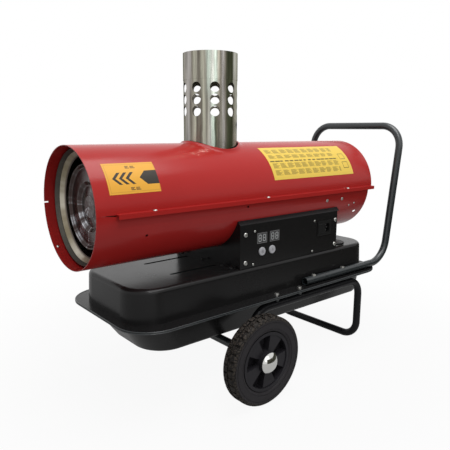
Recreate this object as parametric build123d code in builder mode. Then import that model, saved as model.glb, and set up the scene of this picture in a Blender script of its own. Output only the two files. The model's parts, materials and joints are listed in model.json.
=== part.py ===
from build123d import *
from math import cos, radians, sin, sqrt
import os

os.makedirs("parts", exist_ok=True)

# Indirect fired heater: a barrel with a flue, on a control base, on a fuel tank with two wheels.
# Along X the outlet is at -X and the handle at +X. The origin is on the floor, under the middle.

# Fits
running_gap = 0.06
seat_gap = 0.3
overrun = 30

# Barrel casing
handle_reach = 936
drum_radius = 125
drum_length = 843
lower_shell_inset = 14
drum_axis_z = 436.6
drum_sheet = 1.5
seam_flange_width = 10
seam_flange_setback = 40
seam_lip_drop = 9
seam_notch_width = 3
seam_notch_length = 9
seam_wedge_setback = 8
seam_screw_shares = [0.1423, 0.5053, 0.8624]
seam_screw_radius = 2.2
screw_hole_gap = 0.1
head_taper = 15
hatch_hole_radius = 3
hatch_setbacks = [109, 369]
hatch_angles = [23, 7]
clamp_screw_insets = [89, 68]
clamp_screw_angles = [22.3, 20]
cable_notch_inset = 47
cable_notch_angle = 34
cable_notch_length = 14
cable_notch_width = 8

# Flue
flue_setback = 358.25
flue_radius = 63.2
flue_sheet = 1
flue_top_z = 762.4
flue_hole_radius = 66
collar_radius = 67.5
collar_rise = 5
collar_blend = 15
vent_radius = 11.3
vent_count = 9
vent_rows = 3
vent_row_pitch = 26.2
vent_top_drop = 77.4
vent_first_angle = -158.8
probe_hole_radius = 8
probe_hole_z = 601
probe_hole_angle = -50
pipe_end_length = 60
pipe_end_swell = 0.6
chimney_sheet = 0.6
spigot_radius = 61.7
spigot_top_z = 600

# Liner and outlet
liner_radius = 118
liner_sheet = 1
liner_setback = 21
liner_lip_radius = 113.7
liner_lip_depth = 8
outlet_cone_radius = 104
outlet_cone_depth = 10.4
outlet_skirt_length = 14
spacer_radius = 4
spacer_inset = 40
spacer_count = 4

# Heat exchanger
exchanger_radius = 86.9
exchanger_sheet = 1.2
burner_bay = 86
exchanger_setback = 44
cap_radius = 88.2
cap_setback = 34.5
cap_sheet = 1
cap_skirt_length = 16
cap_dish_depths = [9, 15, 11]
cap_dish_radii = [80, 52, 22]
cap_dish_bend = 2.5
chamber_radius = 62
chamber_setback = 110
chamber_sheet = 1.5
back_plate_sheet = 2
strut_setback = 150
strut_inset = 80
strut_sheet = 2
strut_foot = 12
strut_width = 15
strut_count = 3

# Burner head
burner_radius = 38
burner_sheet = 1.5
burner_reach = 40
burner_tail = 40
burner_collar_radius = 50
burner_slot_count = 6
burner_slot_length = 18
burner_slot_angle_share = 0.55
disc_sheet = 1.5
disc_setback = 12
disc_bore_radius = 12
disc_slot_count = 8
disc_slot_width = 3
disc_slot_length = 16
disc_slot_lean = 30
holder_radius = 8
nozzle_radius = 6
nozzle_length = 12
nozzle_tip_radius = 2.5
electrode_radius = 4
electrode_wire_radius = 1.2
electrode_offset = 17
electrode_length = 42
electrode_wire_length = 20
photocell_radius = 6
photocell_length = 26
photocell_offset = 26

# Motor, pump and fan
motor_radius = 48
motor_gap = 22
motor_length = 96
motor_end_length = 14
motor_end_radius = 38
motor_rib_count = 18
motor_rib_depth = 2.5
motor_rib_width = 4
motor_foot_width = 60
bracket_lead = 6
bracket_length = 86
bracket_sheet = 2
bracket_drop = 53
bracket_flat = 140
bracket_screw_angle = 12
bracket_tab_angle = 10
bracket_screw_insets = [5, 67.5]
shaft_radius = 6
shaft_seat_depth = 25
fan_inset = 79
fan_tip_radius = 116
fan_hub_radius = 24
fan_hub_length = 30
fan_blade_count = 6
fan_root_angle = 52
fan_tip_angle = 24
fan_root_chord = 40
fan_tip_chord = 78
fan_blade_thickness = 2.5
pump_radius = 27
pump_length = 24
coil_radius = 12
coil_height = 26
pipe_radius = 3
guard_wire_radius = 1.6
guard_ring_shares = [0.22, 0.42, 0.62, 0.82]
guard_rod_count = 8
guard_inset = 22

# Control base
tank_top_z = 278
base_setback = 345
base_length = 348
base_sheet = 1.5
crease_z = 380
roof_z = 389
roof_overhang = 8
foot_flange_depth = 20
foot_flange_half_width = 113
side_flange_depth = 22
foot_screw_places = [87, 0, -73, -105]
panel_screw_setbacks = [361, 685]
panel_screw_heights = [291, 357]
panel_screw_radius = 2.7
small_screw_radius = 1.4
small_screw_places = [(390, 362), (386, 284), (600, 362.6), (595, 284)]
display_width = 32
display_height = 25.5
display_depth = 9
display_setbacks = [413.4, 454.8]
display_z = 343.8
display_proud = 0.6
button_radius = 10
button_setbacks = [413.4, 446.6]
button_z = 311.5
button_proud = 3
button_rim = 1.6
button_length = 6
inlet_width = 54.5
inlet_height = 39
inlet_plate = 2
inlet_depth = 24
inlet_setback = 639.7
inlet_z = 340
inlet_wall = 3
recess_width = 16
recess_height = 24
recess_bevel = 4
recess_depth = 17
pin_length = 11
pin_width = 4
pin_thickness = 2
pin_pitch = 7
drawer_width = 22
drawer_height = 24
drawer_proud = 1
drawer_gap = 0.3
drawer_depth = 20
board_length = 100
board_height = 74
board_sheet = 1.6
board_z = 332
standoff_radius = 3
relay_width = 20
relay_height = 28
relay_depth = 15
transformer_length = 70
transformer_height = 56
transformer_depth = 34
transformer_setback = 560
transformer_z = 312

# Fuel tank
tank_sheet = 1.2
tank_front_setback = 70.5
tank_rear_setback = 842
tank_half_width = 132.6
tank_corner_radius = 68
tank_draft = 2.4
tank_top_round = 10
tank_flange_z = 206
tank_flange_overhang = 19.5
tank_flange_half_width = 168
tank_flange_corner = 77
tank_rim_drop = 5
tank_flange_sheet = 1.5
tub_front_setback = 125
tub_rear_setback = 838
tub_half_width = 104.6
tub_front_round = 70.5
tub_rear_round = 34
tub_bottom_z = 123.6
tub_foot_round = 12
groove_offset = 55
groove_front_setback = 202
groove_width = 9
groove_depth = 3
filler_setback = 730
filler_offset = -89
filler_radius = 24
filler_sheet = 1.5
filler_height = 3
filler_depth = 12
cap_outer_radius = 28
cap_height = 7
cap_wall = 2
cap_grip_count = 18
cap_grip_radius = 2
strainer_length = 60
drain_radius = 8
drain_head = 5
drain_setback = 440

# Tube work
tube_radius = 10
tube_wall = 1.6
handle_half_width = 145
handle_top_half_width = 159
handle_start_setback = 547
handle_corner_setback = 894
handle_top_z = 605
handle_low_bend = 65
handle_top_bend = 60
handle_bolt_setbacks = [581, 700]
leg_half_width = 150
leg_run_z = 182
leg_knee_setback = 385.9
leg_rear_setback = 771
leg_knee_bend = 50
leg_corner_bend = 45
leg_bolt_setbacks = [440.6, 521.4]
bolt_radius = 3
bolt_head_radius = 6
bolt_head_height = 4
bolt_tail = 3

# Wheels
wheel_radius = 100
wheel_setback = 329
wheel_width = 38
wheel_outer_face = 238
tyre_bore_radius = 66.5
tyre_shoulder = 9
tyre_bead_round = 4
tread_count = 36
tread_depth = 2.5
tread_gap = 5
sidewall_ring_radii = [74, 88]
sidewall_ring_size = 1.5
rim_ring = 7
rim_inset = 3
web_depth = 20
web_inset = 5
pocket_floor = 3
hub_radius = 24
hub_proud = 4
spoke_count = 5
window_start_angle = 98
window_share = 0.5
window_round = 3
axle_radius = 6
axle_tube_radius = 10
hub_cap_radius = 23.3
hub_cap_rise = 12
hub_cap_sheet = 1.2

# Places worked out from the sizes above
drum_front = -handle_reach / 2
flue_x = drum_front + flue_setback
axle_x = drum_front + wheel_setback
handle_bar_setback = handle_reach - tube_radius
barrel = Plane(origin=(drum_front, 0, drum_axis_z), x_dir=(1, 0, 0), z_dir=(0, -1, 0))
barrel_axis = Axis((drum_front, 0, drum_axis_z), (1, 0, 0))
drum_bore = drum_radius - drum_sheet
seam_half_width = drum_radius + seam_flange_width
base_half_width = drum_radius
lower_shell_length = drum_length - lower_shell_inset
seam_screw_setbacks = [drum_length * share for share in seam_screw_shares]
fan_setback = drum_length - fan_inset
motor_setback = fan_setback - motor_gap - motor_length
motor_end = motor_setback + motor_length
bracket_screw_setbacks = [motor_setback + inset for inset in bracket_screw_insets]
exchanger_end = motor_setback - burner_bay
base_end_setback = base_setback + base_length
foot_setbacks = [end - foot_flange_depth / 2 for end in (base_setback, base_end_setback)]
foot_screw_spots = [(drum_front + setback, place) for setback in foot_setbacks for place in foot_screw_places]
handle_bolt_spots = [(drum_front + setback, side * handle_half_width)
                     for setback in handle_bolt_setbacks for side in (-1, 1)]
leg_bolt_spots = [(drum_front + setback, side * leg_half_width)
                  for setback in leg_bolt_setbacks for side in (-1, 1)]


def section_at(setback):
    """Cross-section plane of the barrel, a setback behind the outlet rim."""
    return Plane(origin=(drum_front + setback, 0, drum_axis_z), x_dir=(0, 1, 0), z_dir=(1, 0, 0))


def radial_plane(setback, angle):
    """Plane on the barrel axis that faces outwards at an angle below the near seam."""
    outwards = (0, -cos(radians(angle)), -sin(radians(angle)))
    return Plane(origin=(drum_front + setback, 0, drum_axis_z), x_dir=(1, 0, 0), z_dir=outwards)


def near_face(setback, height, out=0):
    """Plane on the near side panel that faces the user."""
    return Plane(origin=(drum_front + setback, -base_half_width - out, height), x_dir=(1, 0, 0),
                 z_dir=(0, -1, 0))


def turned_ring(points):
    """Solid of revolution about the barrel axis, from (setback, radius) points of a closed outline."""
    with BuildPart() as ring:
        with BuildSketch(barrel):
            with BuildLine():
                Polyline(*points, close=True)
            make_face()
        revolve(axis=barrel_axis)
    return ring


def pan_screws(places, shank_radius, length):
    """Group of screws: places are planes on the surface that carries the head."""
    with BuildPart() as group:
        for place in places:
            with BuildSketch(place):
                Circle(2 * shank_radius)
            extrude(amount=shank_radius, taper=head_taper)
            with BuildSketch(place):
                Circle(shank_radius)
            extrude(amount=-length)
    return group


def hex_bolts(places, length):
    """Group of hexagon bolts: places are planes under the bolt heads."""
    with BuildPart() as group:
        for place in places:
            with BuildSketch(place):
                RegularPolygon(bolt_head_radius, 6)
            extrude(amount=bolt_head_height)
            with BuildSketch(place):
                Circle(bolt_radius)
            extrude(amount=-length)
    return group


# Upper and lower drum shells

def section_seam(side):
    """Seam plane that faces up for the upper shell and down for the lower one."""
    return Plane(origin=(0, 0, drum_axis_z), x_dir=(1, 0, 0), z_dir=(0, 0, side))


def drum_half(side, flange_width, blank, length):
    """Half of the barrel casing with its seam flanges: side is 1 above the seam, -1 below it."""
    with BuildPart() as half:
        add(blank.part)
        with BuildSketch(section_at(seam_flange_setback)):
            with Locations((0, side * drum_sheet / 2)):
                Rectangle(2 * (drum_radius + flange_width), drum_sheet)
        extrude(amount=length - seam_flange_setback)
        with BuildSketch(section_at(0)):
            Circle(drum_bore)
        extrude(amount=length, mode=Mode.SUBTRACT)
        split(bisect_by=section_seam(side), keep=Keep.TOP)
        with BuildSketch(section_at(0)):
            with Locations((drum_radius, 0)):
                Rectangle(2 * seam_flange_width, seam_notch_width)
        extrude(amount=seam_notch_length, mode=Mode.SUBTRACT)
        with BuildSketch(Plane.XY.offset(drum_axis_z - overrun / 2)):
            for setback in seam_screw_setbacks:
                with Locations((drum_front + setback, seam_screw_y), (drum_front + setback, -seam_screw_y)):
                    Circle(seam_screw_radius + screw_hole_gap)
        extrude(amount=overrun, mode=Mode.SUBTRACT)
    return half


seam_screw_y = drum_radius + seam_flange_width / 2

# Casing with a drawn collar: a stub blended into the barrel, then trimmed just above its skin
with BuildPart() as collared_casing:
    with BuildSketch(section_at(0)):
        Circle(drum_radius)
    extrude(amount=drum_length)
    with BuildSketch(Plane.XY.offset(drum_axis_z)):
        with Locations((flue_x, 0)):
            Circle(collar_radius)
    extrude(amount=drum_radius + overrun)
    crossing = collared_casing.edges().filter_by(GeomType.CIRCLE, reverse=True)
    fillet(crossing.filter_by(GeomType.LINE, reverse=True), collar_blend)
    with BuildSketch(section_at(0)):
        Circle(drum_radius + collar_rise)
    extrude(amount=drum_length, mode=Mode.INTERSECT)

with BuildPart() as plain_casing:
    with BuildSketch(section_at(0)):
        Circle(drum_radius)
    extrude(amount=lower_shell_length)

with BuildPart() as upper_drum_shell:
    add(drum_half(1, seam_flange_width, collared_casing, drum_length).part)
    for side in (-1, 1):
        with BuildSketch(section_at(seam_flange_setback)):
            with Locations((side * (seam_half_width - drum_sheet / 2), drum_sheet - seam_lip_drop / 2)):
                Rectangle(drum_sheet, seam_lip_drop)
        extrude(amount=drum_length - seam_flange_setback)
    with BuildSketch(Plane.XY.offset(drum_axis_z)):
        with Locations((flue_x, 0)):
            Circle(flue_hole_radius)
    extrude(amount=drum_radius + overrun, mode=Mode.SUBTRACT)
upper_drum_shell.part.label = "upper_drum_shell"
export_step(upper_drum_shell.part, "parts/upper_drum_shell.step")

# Places of the screws that go through the lower shell, and a wedge that gapes at the near seam
clamp_places = [radial_plane(drum_length - inset, angle)
                for inset, angle in zip(clamp_screw_insets, clamp_screw_angles)]
bracket_places = [radial_plane(setback, abs(side - bracket_screw_angle))
                  for setback in bracket_screw_setbacks for side in (0, 180)]
near_seam = Plane(origin=(drum_front, -drum_radius - overrun, drum_axis_z), x_dir=(1, 0, 0), z_dir=(0, -1, 0))
with BuildPart() as lower_drum_shell:
    add(drum_half(-1, seam_flange_width - drum_sheet - seat_gap, plain_casing, lower_shell_length).part)
    with BuildSketch(near_seam):
        Polygon((seam_wedge_setback, 0), (seam_flange_setback, 0), (seam_flange_setback, -seam_notch_width),
                align=None)
    extrude(amount=-2 * overrun, mode=Mode.SUBTRACT)
    for setback, angle in zip(hatch_setbacks, hatch_angles):
        with BuildSketch(radial_plane(setback, angle)):
            Circle(hatch_hole_radius)
        extrude(amount=drum_radius + overrun, mode=Mode.SUBTRACT)
    for places, radius in ((bracket_places, seam_screw_radius), (clamp_places, small_screw_radius)):
        for place in places:
            with BuildSketch(place):
                Circle(radius + screw_hole_gap)
            extrude(amount=drum_radius + overrun, mode=Mode.SUBTRACT)
    with BuildSketch(radial_plane(drum_length - cable_notch_inset, cable_notch_angle)):
        SlotOverall(cable_notch_length, cable_notch_width)
    extrude(amount=drum_radius + overrun, mode=Mode.SUBTRACT)
    with BuildSketch(Plane.XY.offset(drum_axis_z)):
        with Locations((drum_front + motor_setback - pump_length / 2, 0)):
            Circle(pipe_radius + seat_gap)
    extrude(amount=-drum_radius - overrun, mode=Mode.SUBTRACT)
lower_drum_shell.part.label = "lower_drum_shell"
export_step(lower_drum_shell.part, "parts/lower_drum_shell.step")

seam_places = [Plane(origin=(drum_front + setback, y, drum_axis_z + drum_sheet), z_dir=(0, 0, 1))
               for setback in seam_screw_setbacks for y in (-seam_screw_y, seam_screw_y)]

# Heat shield liner with its turned-in front lip
liner_bore = liner_radius - liner_sheet
liner_end = exchanger_end
lip_end = liner_setback + liner_lip_depth
with BuildPart() as heat_shield:
    add(turned_ring([(liner_setback, liner_radius), (liner_end, liner_radius), (liner_end, liner_bore),
                     (lip_end, liner_bore), (liner_setback + 2 * liner_sheet, liner_bore),
                     (lip_end, liner_lip_radius), (lip_end, liner_lip_radius - liner_sheet),
                     (liner_setback, liner_bore)]).part)
    with BuildSketch(Plane.XY.offset(drum_axis_z)):
        with Locations((flue_x, 0)):
            Circle(flue_hole_radius - flue_sheet)
    extrude(amount=drum_radius, mode=Mode.SUBTRACT)
heat_shield.part.label = "heat_shield"
export_step(heat_shield.part, "parts/heat_shield.step")

# Spacers between the liner and the casing
with BuildPart() as liner_spacers:
    for setback in (liner_setback + spacer_inset, liner_end - spacer_inset):
        for index in range(spacer_count):
            turn = 360 * (index + 1 / 2) / spacer_count
            with BuildSketch(radial_plane(setback, turn).offset(liner_radius + running_gap)):
                Circle(spacer_radius)
            extrude(amount=drum_bore - liner_radius - spacer_radius * spacer_radius / drum_bore)
liner_spacers.part.label = "liner_spacers"
export_step(liner_spacers.part, "parts/liner_spacers.step")

# Outlet cone: seats inside the liner behind its lip and narrows towards the exchanger cap
cone_mouth = liner_lip_radius - seat_gap
cone_start = lip_end + liner_sheet
cone_end = cone_start + outlet_cone_depth
cone_seat = liner_bore - seat_gap
with BuildPart() as outlet_cone:
    add(turned_ring([(cone_start, cone_mouth), (cone_start, cone_seat),
                     (cone_end + outlet_skirt_length, cone_seat),
                     (cone_end + outlet_skirt_length, cone_seat - liner_sheet),
                     (cone_start + liner_sheet, cone_seat - liner_sheet),
                     (cone_start + liner_sheet, cone_mouth), (cone_end, outlet_cone_radius + liner_sheet),
                     (cone_end, outlet_cone_radius)]).part)
outlet_cone.part.label = "outlet_cone"
export_step(outlet_cone.part, "parts/outlet_cone.step")

# Heat exchanger: outer shell, dished front cap, combustion chamber and back plate
exchanger_bore = exchanger_radius - exchanger_sheet
spigot_bore = spigot_radius - flue_sheet
with BuildPart() as exchanger_shell:
    add(turned_ring([(exchanger_setback, exchanger_radius), (exchanger_end, exchanger_radius),
                     (exchanger_end, exchanger_bore), (exchanger_setback, exchanger_bore)]).part)
    with BuildSketch(Plane.XY.offset(drum_axis_z)):
        with Locations((flue_x, 0)):
            Circle(spigot_bore)
    extrude(amount=drum_radius, mode=Mode.SUBTRACT)
exchanger_shell.part.label = "exchanger_shell"
export_step(exchanger_shell.part, "parts/exchanger_shell.step")

cap_skirt_end = cap_setback + cap_skirt_length
rim_depth, ring_depth, middle_depth = cap_dish_depths
rim_radius, ring_radius, middle_radius = cap_dish_radii
with BuildPart() as exchanger_front_cap:
    with BuildSketch(barrel):
        with BuildLine():
            FilletPolyline((cap_skirt_end, cap_radius), (cap_setback, cap_radius),
                           (cap_setback + rim_depth, rim_radius), (cap_setback + rim_depth, ring_radius),
                           (cap_setback + ring_depth, middle_radius + cap_dish_radii[-1]),
                           (cap_setback + middle_depth, middle_radius),
                           (cap_setback + middle_depth, 0), radius=cap_dish_bend)
            offset(amount=cap_sheet, side=Side.LEFT)
        make_face()
    revolve(axis=barrel_axis)
exchanger_front_cap.part.label = "exchanger_front_cap"
export_step(exchanger_front_cap.part, "parts/exchanger_front_cap.step")

chamber_bore = chamber_radius - chamber_sheet
with BuildPart() as combustion_chamber:
    add(turned_ring([(chamber_setback, chamber_radius), (exchanger_end, chamber_radius),
                     (exchanger_end, chamber_bore), (chamber_setback, chamber_bore)]).part)
combustion_chamber.part.label = "combustion_chamber"
export_step(combustion_chamber.part, "parts/combustion_chamber.step")

back_plate_end = exchanger_end + back_plate_sheet
burner_hole = burner_radius + seat_gap
with BuildPart() as exchanger_back_plate:
    add(turned_ring([(exchanger_end, exchanger_radius), (back_plate_end, exchanger_radius),
                     (back_plate_end, burner_hole), (exchanger_end, burner_hole)]).part)
exchanger_back_plate.part.label = "exchanger_back_plate"
export_step(exchanger_back_plate.part, "parts/exchanger_back_plate.step")

# Struts that carry the exchanger inside the liner
strut_inner = exchanger_radius + seat_gap
strut_outer = sqrt(cone_seat**2 - strut_foot**2 / 4)
with BuildPart() as exchanger_struts:
    for setback in (strut_setback, exchanger_end - strut_inset):
        for index in range(strut_count):
            turn = 90 + 360 * (index + 1 / 2) / strut_count
            with BuildSketch(section_at(setback)):
                with PolarLocations(0, 1, start_angle=turn):
                    with Locations(((strut_inner + strut_outer) / 2, 0)):
                        Rectangle(strut_outer - strut_inner, strut_sheet)
                    with Locations((strut_inner + strut_sheet / 2, 0), (strut_outer - strut_sheet / 2, 0)):
                        Rectangle(strut_sheet, strut_foot)
            extrude(amount=strut_width)
exchanger_struts.part.label = "exchanger_struts"
export_step(exchanger_struts.part, "parts/exchanger_struts.step")

# Flue spigot, saddled on the exchanger, and the perforated chimney that slips over it
with BuildPart() as flue_spigot:
    with BuildSketch(Plane.XY.offset(drum_axis_z)):
        with Locations((flue_x, 0)):
            Circle(spigot_radius)
            Circle(spigot_bore, mode=Mode.SUBTRACT)
    extrude(amount=spigot_top_z - drum_axis_z)
    with BuildSketch(section_at(0)):
        Circle(exchanger_radius + seat_gap)
    extrude(amount=drum_length, mode=Mode.SUBTRACT)
flue_spigot.part.label = "flue_spigot"
export_step(flue_spigot.part, "parts/flue_spigot.step")

chimney_foot_z = drum_axis_z + liner_radius + seat_gap
pipe_end_z = flue_top_z - pipe_end_length
vent_top_z = flue_top_z - vent_top_drop
chimney_holes = [(vent_first_angle + 360 * column / vent_count, vent_top_z - row * vent_row_pitch, vent_radius)
                 for row in range(vent_rows) for column in range(vent_count)]
with BuildPart() as chimney:
    with BuildSketch(Plane.XY.offset(chimney_foot_z)):
        with Locations((flue_x, 0)):
            Circle(flue_radius - pipe_end_swell)
    extrude(amount=pipe_end_z - chimney_foot_z)
    with BuildSketch(Plane.XY.offset(pipe_end_z)):
        with Locations((flue_x, 0)):
            Circle(flue_radius)
    extrude(amount=pipe_end_length)
    with BuildSketch(Plane.XY.offset(chimney_foot_z)):
        with Locations((flue_x, 0)):
            Circle(flue_radius - pipe_end_swell - chimney_sheet)
    extrude(amount=flue_top_z - chimney_foot_z, mode=Mode.SUBTRACT)
    for angle, height, radius in chimney_holes + [(probe_hole_angle, probe_hole_z, probe_hole_radius)]:
        outwards = (cos(radians(angle)), sin(radians(angle)), 0)
        with BuildSketch(Plane(origin=(flue_x, 0, height), z_dir=outwards)):
            Circle(radius)
        extrude(amount=flue_radius + overrun, mode=Mode.SUBTRACT)
chimney.part.label = "chimney"
export_step(chimney.part, "parts/chimney.step")

# Burner head
burner_front = exchanger_end - burner_reach
burner_rear = back_plate_end + burner_tail
burner_bore = burner_radius - burner_sheet
with BuildPart() as burner_tube:
    add(turned_ring([(burner_front, burner_radius), (back_plate_end, burner_radius),
                     (back_plate_end, burner_collar_radius),
                     (back_plate_end + back_plate_sheet, burner_collar_radius),
                     (back_plate_end + back_plate_sheet, burner_radius), (burner_rear, burner_radius),
                     (burner_rear, holder_radius + running_gap),
                     (burner_rear - burner_sheet, holder_radius + running_gap),
                     (burner_rear - burner_sheet, burner_bore), (burner_front, burner_bore)]).part)
    for index in range(burner_slot_count):
        with BuildSketch(radial_plane(back_plate_end + burner_tail / 2, 360 * index / burner_slot_count)):
            Rectangle(burner_slot_length, burner_radius * burner_slot_angle_share)
        extrude(amount=burner_radius + overrun, mode=Mode.SUBTRACT)
    for angle in (0, 180):
        with BuildSketch(section_at(burner_rear - 2 * burner_sheet)):
            with PolarLocations(electrode_offset, 2, start_angle=angle):
                Circle(electrode_radius + running_gap)
        extrude(amount=overrun, mode=Mode.SUBTRACT)
    with BuildSketch(section_at(burner_rear - 2 * burner_sheet)):
        with Locations((0, photocell_offset)):
            Circle(photocell_radius + running_gap)
    extrude(amount=overrun, mode=Mode.SUBTRACT)
burner_tube.part.label = "burner_tube"
export_step(burner_tube.part, "parts/burner_tube.step")

# Flame disc with swirl slots, gripped inside the mouth of the burner tube
disc_front = burner_front + disc_setback
with BuildPart() as flame_disc:
    with BuildSketch(section_at(disc_front)):
        Circle(burner_bore - running_gap)
        Circle(disc_bore_radius, mode=Mode.SUBTRACT)
        with PolarLocations((disc_bore_radius + burner_bore) / 2, disc_slot_count):
            SlotOverall(disc_slot_length, disc_slot_width, rotation=disc_slot_lean, mode=Mode.SUBTRACT)
    extrude(amount=disc_sheet)
flame_disc.part.label = "flame_disc"
export_step(flame_disc.part, "parts/flame_disc.step")

# Nozzle holder and nozzle on the axis
nozzle_front = disc_front + disc_sheet + nozzle_length / 2
holder_front = nozzle_front + nozzle_length
with BuildPart() as nozzle_holder:
    add(turned_ring([(holder_front, 0), (holder_front, holder_radius),
                     (burner_rear + burner_sheet, holder_radius), (burner_rear + burner_sheet, 0)]).part)
    add(turned_ring([(nozzle_front, 0), (nozzle_front, nozzle_tip_radius),
                     (nozzle_front + nozzle_length / 2, nozzle_radius), (holder_front, nozzle_radius),
                     (holder_front, 0)]).part)
nozzle_holder.part.label = "nozzle_holder"
export_step(nozzle_holder.part, "parts/nozzle_holder.step")

# Two ignition electrodes: porcelain bodies with bare wires that reach past the nozzle
electrode_front = burner_rear + burner_sheet - electrode_length
with BuildPart() as ignition_electrodes:
    with BuildSketch(section_at(electrode_front)):
        with PolarLocations(electrode_offset, 2):
            Circle(electrode_radius)
    extrude(amount=electrode_length)
    with BuildSketch(section_at(electrode_front)):
        with PolarLocations(electrode_offset, 2):
            Circle(electrode_wire_radius)
    extrude(amount=disc_front + 2 * disc_sheet - electrode_front)
ignition_electrodes.part.label = "ignition_electrodes"
export_step(ignition_electrodes.part, "parts/ignition_electrodes.step")

with BuildPart() as photocell:
    with BuildSketch(section_at(burner_rear + 2 * burner_sheet - photocell_length)):
        with Locations((0, photocell_offset)):
            Circle(photocell_radius)
    extrude(amount=photocell_length)
photocell.part.label = "photocell"
export_step(photocell.part, "parts/photocell.step")

# Fan motor: ribbed body between two round end bells, on a flat foot
bracket_flat_z = drum_axis_z - bracket_drop
with BuildPart() as fan_motor:
    with BuildSketch(section_at(motor_setback + motor_end_length)):
        Circle(motor_radius - motor_rib_depth)
        with PolarLocations(motor_radius - motor_rib_depth, motor_rib_count):
            Rectangle(2 * motor_rib_depth, motor_rib_width)
    extrude(amount=motor_length - 2 * motor_end_length)
    add(turned_ring([(motor_setback, 0), (motor_setback, motor_end_radius),
                     (motor_setback + motor_end_length, motor_radius),
                     (motor_setback + motor_end_length, 0)]).part)
    add(turned_ring([(motor_end, 0), (motor_end, motor_end_radius),
                     (motor_end - motor_end_length, motor_radius), (motor_end - motor_end_length, 0)]).part)
    with BuildSketch(Plane.XY.offset(bracket_flat_z)):
        with Locations((drum_front + motor_setback + motor_length / 2, 0)):
            Rectangle(motor_length - 2 * motor_end_length, motor_foot_width)
    extrude(amount=bracket_drop - motor_end_radius)
    with BuildSketch(section_at(motor_end - shaft_seat_depth)):
        Circle(shaft_radius + running_gap)
    extrude(amount=overrun, mode=Mode.SUBTRACT)
fan_motor.part.label = "fan_motor"
export_step(fan_motor.part, "parts/fan_motor.step")

# Motor bracket: a dished strap across the lower shell, screwed through it on both sides
tab_radius = drum_bore * cos(radians(bracket_tab_angle / 2)) - seat_gap
tab_low = radians(bracket_screw_angle + bracket_tab_angle / 2)
tab_high = radians(bracket_screw_angle - bracket_tab_angle / 2)
tab_reach = tab_radius / cos(radians(bracket_tab_angle / 2))
with BuildPart() as motor_bracket:
    with BuildSketch(section_at(motor_setback - bracket_lead)):
        with BuildLine():
            Polyline((-tab_reach * cos(tab_high), -tab_reach * sin(tab_high)),
                     (-tab_reach * cos(tab_low), -tab_reach * sin(tab_low)),
                     (-bracket_flat / 2, -bracket_drop - bracket_sheet),
                     (bracket_flat / 2, -bracket_drop - bracket_sheet),
                     (tab_reach * cos(tab_low), -tab_reach * sin(tab_low)),
                     (tab_reach * cos(tab_high), -tab_reach * sin(tab_high)))
            offset(amount=bracket_sheet, side=Side.LEFT)
        make_face()
    extrude(amount=bracket_length)
motor_bracket.part.label = "motor_bracket"
export_step(motor_bracket.part, "parts/motor_bracket.step")

# Screws of the barrel: along the seams, through the motor bracket and at the cable clamp
shell_screw_length = drum_sheet + seat_gap / 2
with BuildPart() as drum_screws:
    add(pan_screws(seam_places, seam_screw_radius, 4 * drum_sheet).part)
    for places, radius in ((bracket_places, seam_screw_radius), (clamp_places, small_screw_radius)):
        add(pan_screws([place.offset(drum_radius) for place in places], radius, shell_screw_length).part)
drum_screws.part.label = "drum_screws"
export_step(drum_screws.part, "parts/drum_screws.step")

# Fuel pump on the front of the motor, its solenoid coil and the pipes
pump_setback = motor_setback - pump_length
with BuildPart() as fuel_pump:
    with BuildSketch(section_at(pump_setback)):
        Circle(pump_radius)
    extrude(amount=pump_length)
    fillet(fuel_pump.edges().group_by(Axis.X)[0], burner_sheet)
    with BuildSketch(Plane.XY.offset(drum_axis_z)):
        with Locations((drum_front + pump_setback + pump_length / 2, 0)):
            RectangleRounded(2 * coil_radius - 2 * pipe_radius, 2 * coil_radius, pipe_radius)
    extrude(amount=pump_radius + coil_height)
fuel_pump.part.label = "fuel_pump"
export_step(fuel_pump.part, "parts/fuel_pump.step")

nozzle_line_start = burner_rear + burner_sheet
with BuildPart() as nozzle_line:
    with BuildLine(barrel) as nozzle_route:
        FilletPolyline((nozzle_line_start, 0), ((nozzle_line_start + pump_setback) / 2, 0),
                       ((nozzle_line_start + pump_setback) / 2, pump_radius / 2),
                       (pump_setback, pump_radius / 2), radius=2 * pipe_radius)
    with BuildSketch(section_at(nozzle_line_start)):
        Circle(pipe_radius)
    sweep(path=nozzle_route.wire())

# Fan and its shaft
fan_end = fan_setback + fan_hub_length


def fan_blade_section(radius, chord, pitch):
    """Blade section across one radius: a thin slot turned by the pitch angle from the axis."""
    middle = drum_front + fan_setback + fan_hub_length / 2
    return Plane(origin=(middle, 0, drum_axis_z + radius), x_dir=(sin(radians(pitch)),
                 cos(radians(pitch)), 0), z_dir=(0, 0, 1))


with BuildPart() as fan_blade:
    with BuildSketch(fan_blade_section(fan_hub_radius / 2, fan_root_chord, fan_root_angle)):
        SlotOverall(fan_root_chord / 2, fan_blade_thickness)
    with BuildSketch(fan_blade_section(fan_hub_radius, fan_root_chord, fan_root_angle)):
        SlotOverall(fan_root_chord, fan_blade_thickness)
    with BuildSketch(fan_blade_section(fan_tip_radius, fan_tip_chord, fan_tip_angle)):
        SlotOverall(fan_tip_chord, fan_blade_thickness)
    loft()

with BuildPart() as fan:
    with BuildSketch(section_at(fan_setback)):
        Circle(fan_hub_radius)
    extrude(amount=fan_hub_length)
    for index in range(fan_blade_count):
        add(fan_blade.part.rotate(barrel_axis, 360 * index / fan_blade_count))
    with BuildSketch(section_at(fan_setback - fan_hub_length)):
        Circle(shaft_radius)
    extrude(amount=3 * fan_hub_length, mode=Mode.SUBTRACT)
    with BuildSketch(section_at(0)):
        Circle(drum_radius + overrun)
        Circle(fan_tip_radius, mode=Mode.SUBTRACT)
    extrude(amount=drum_length, mode=Mode.SUBTRACT)
fan.part.label = "fan"
export_step(fan.part, "parts/fan.step")

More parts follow.
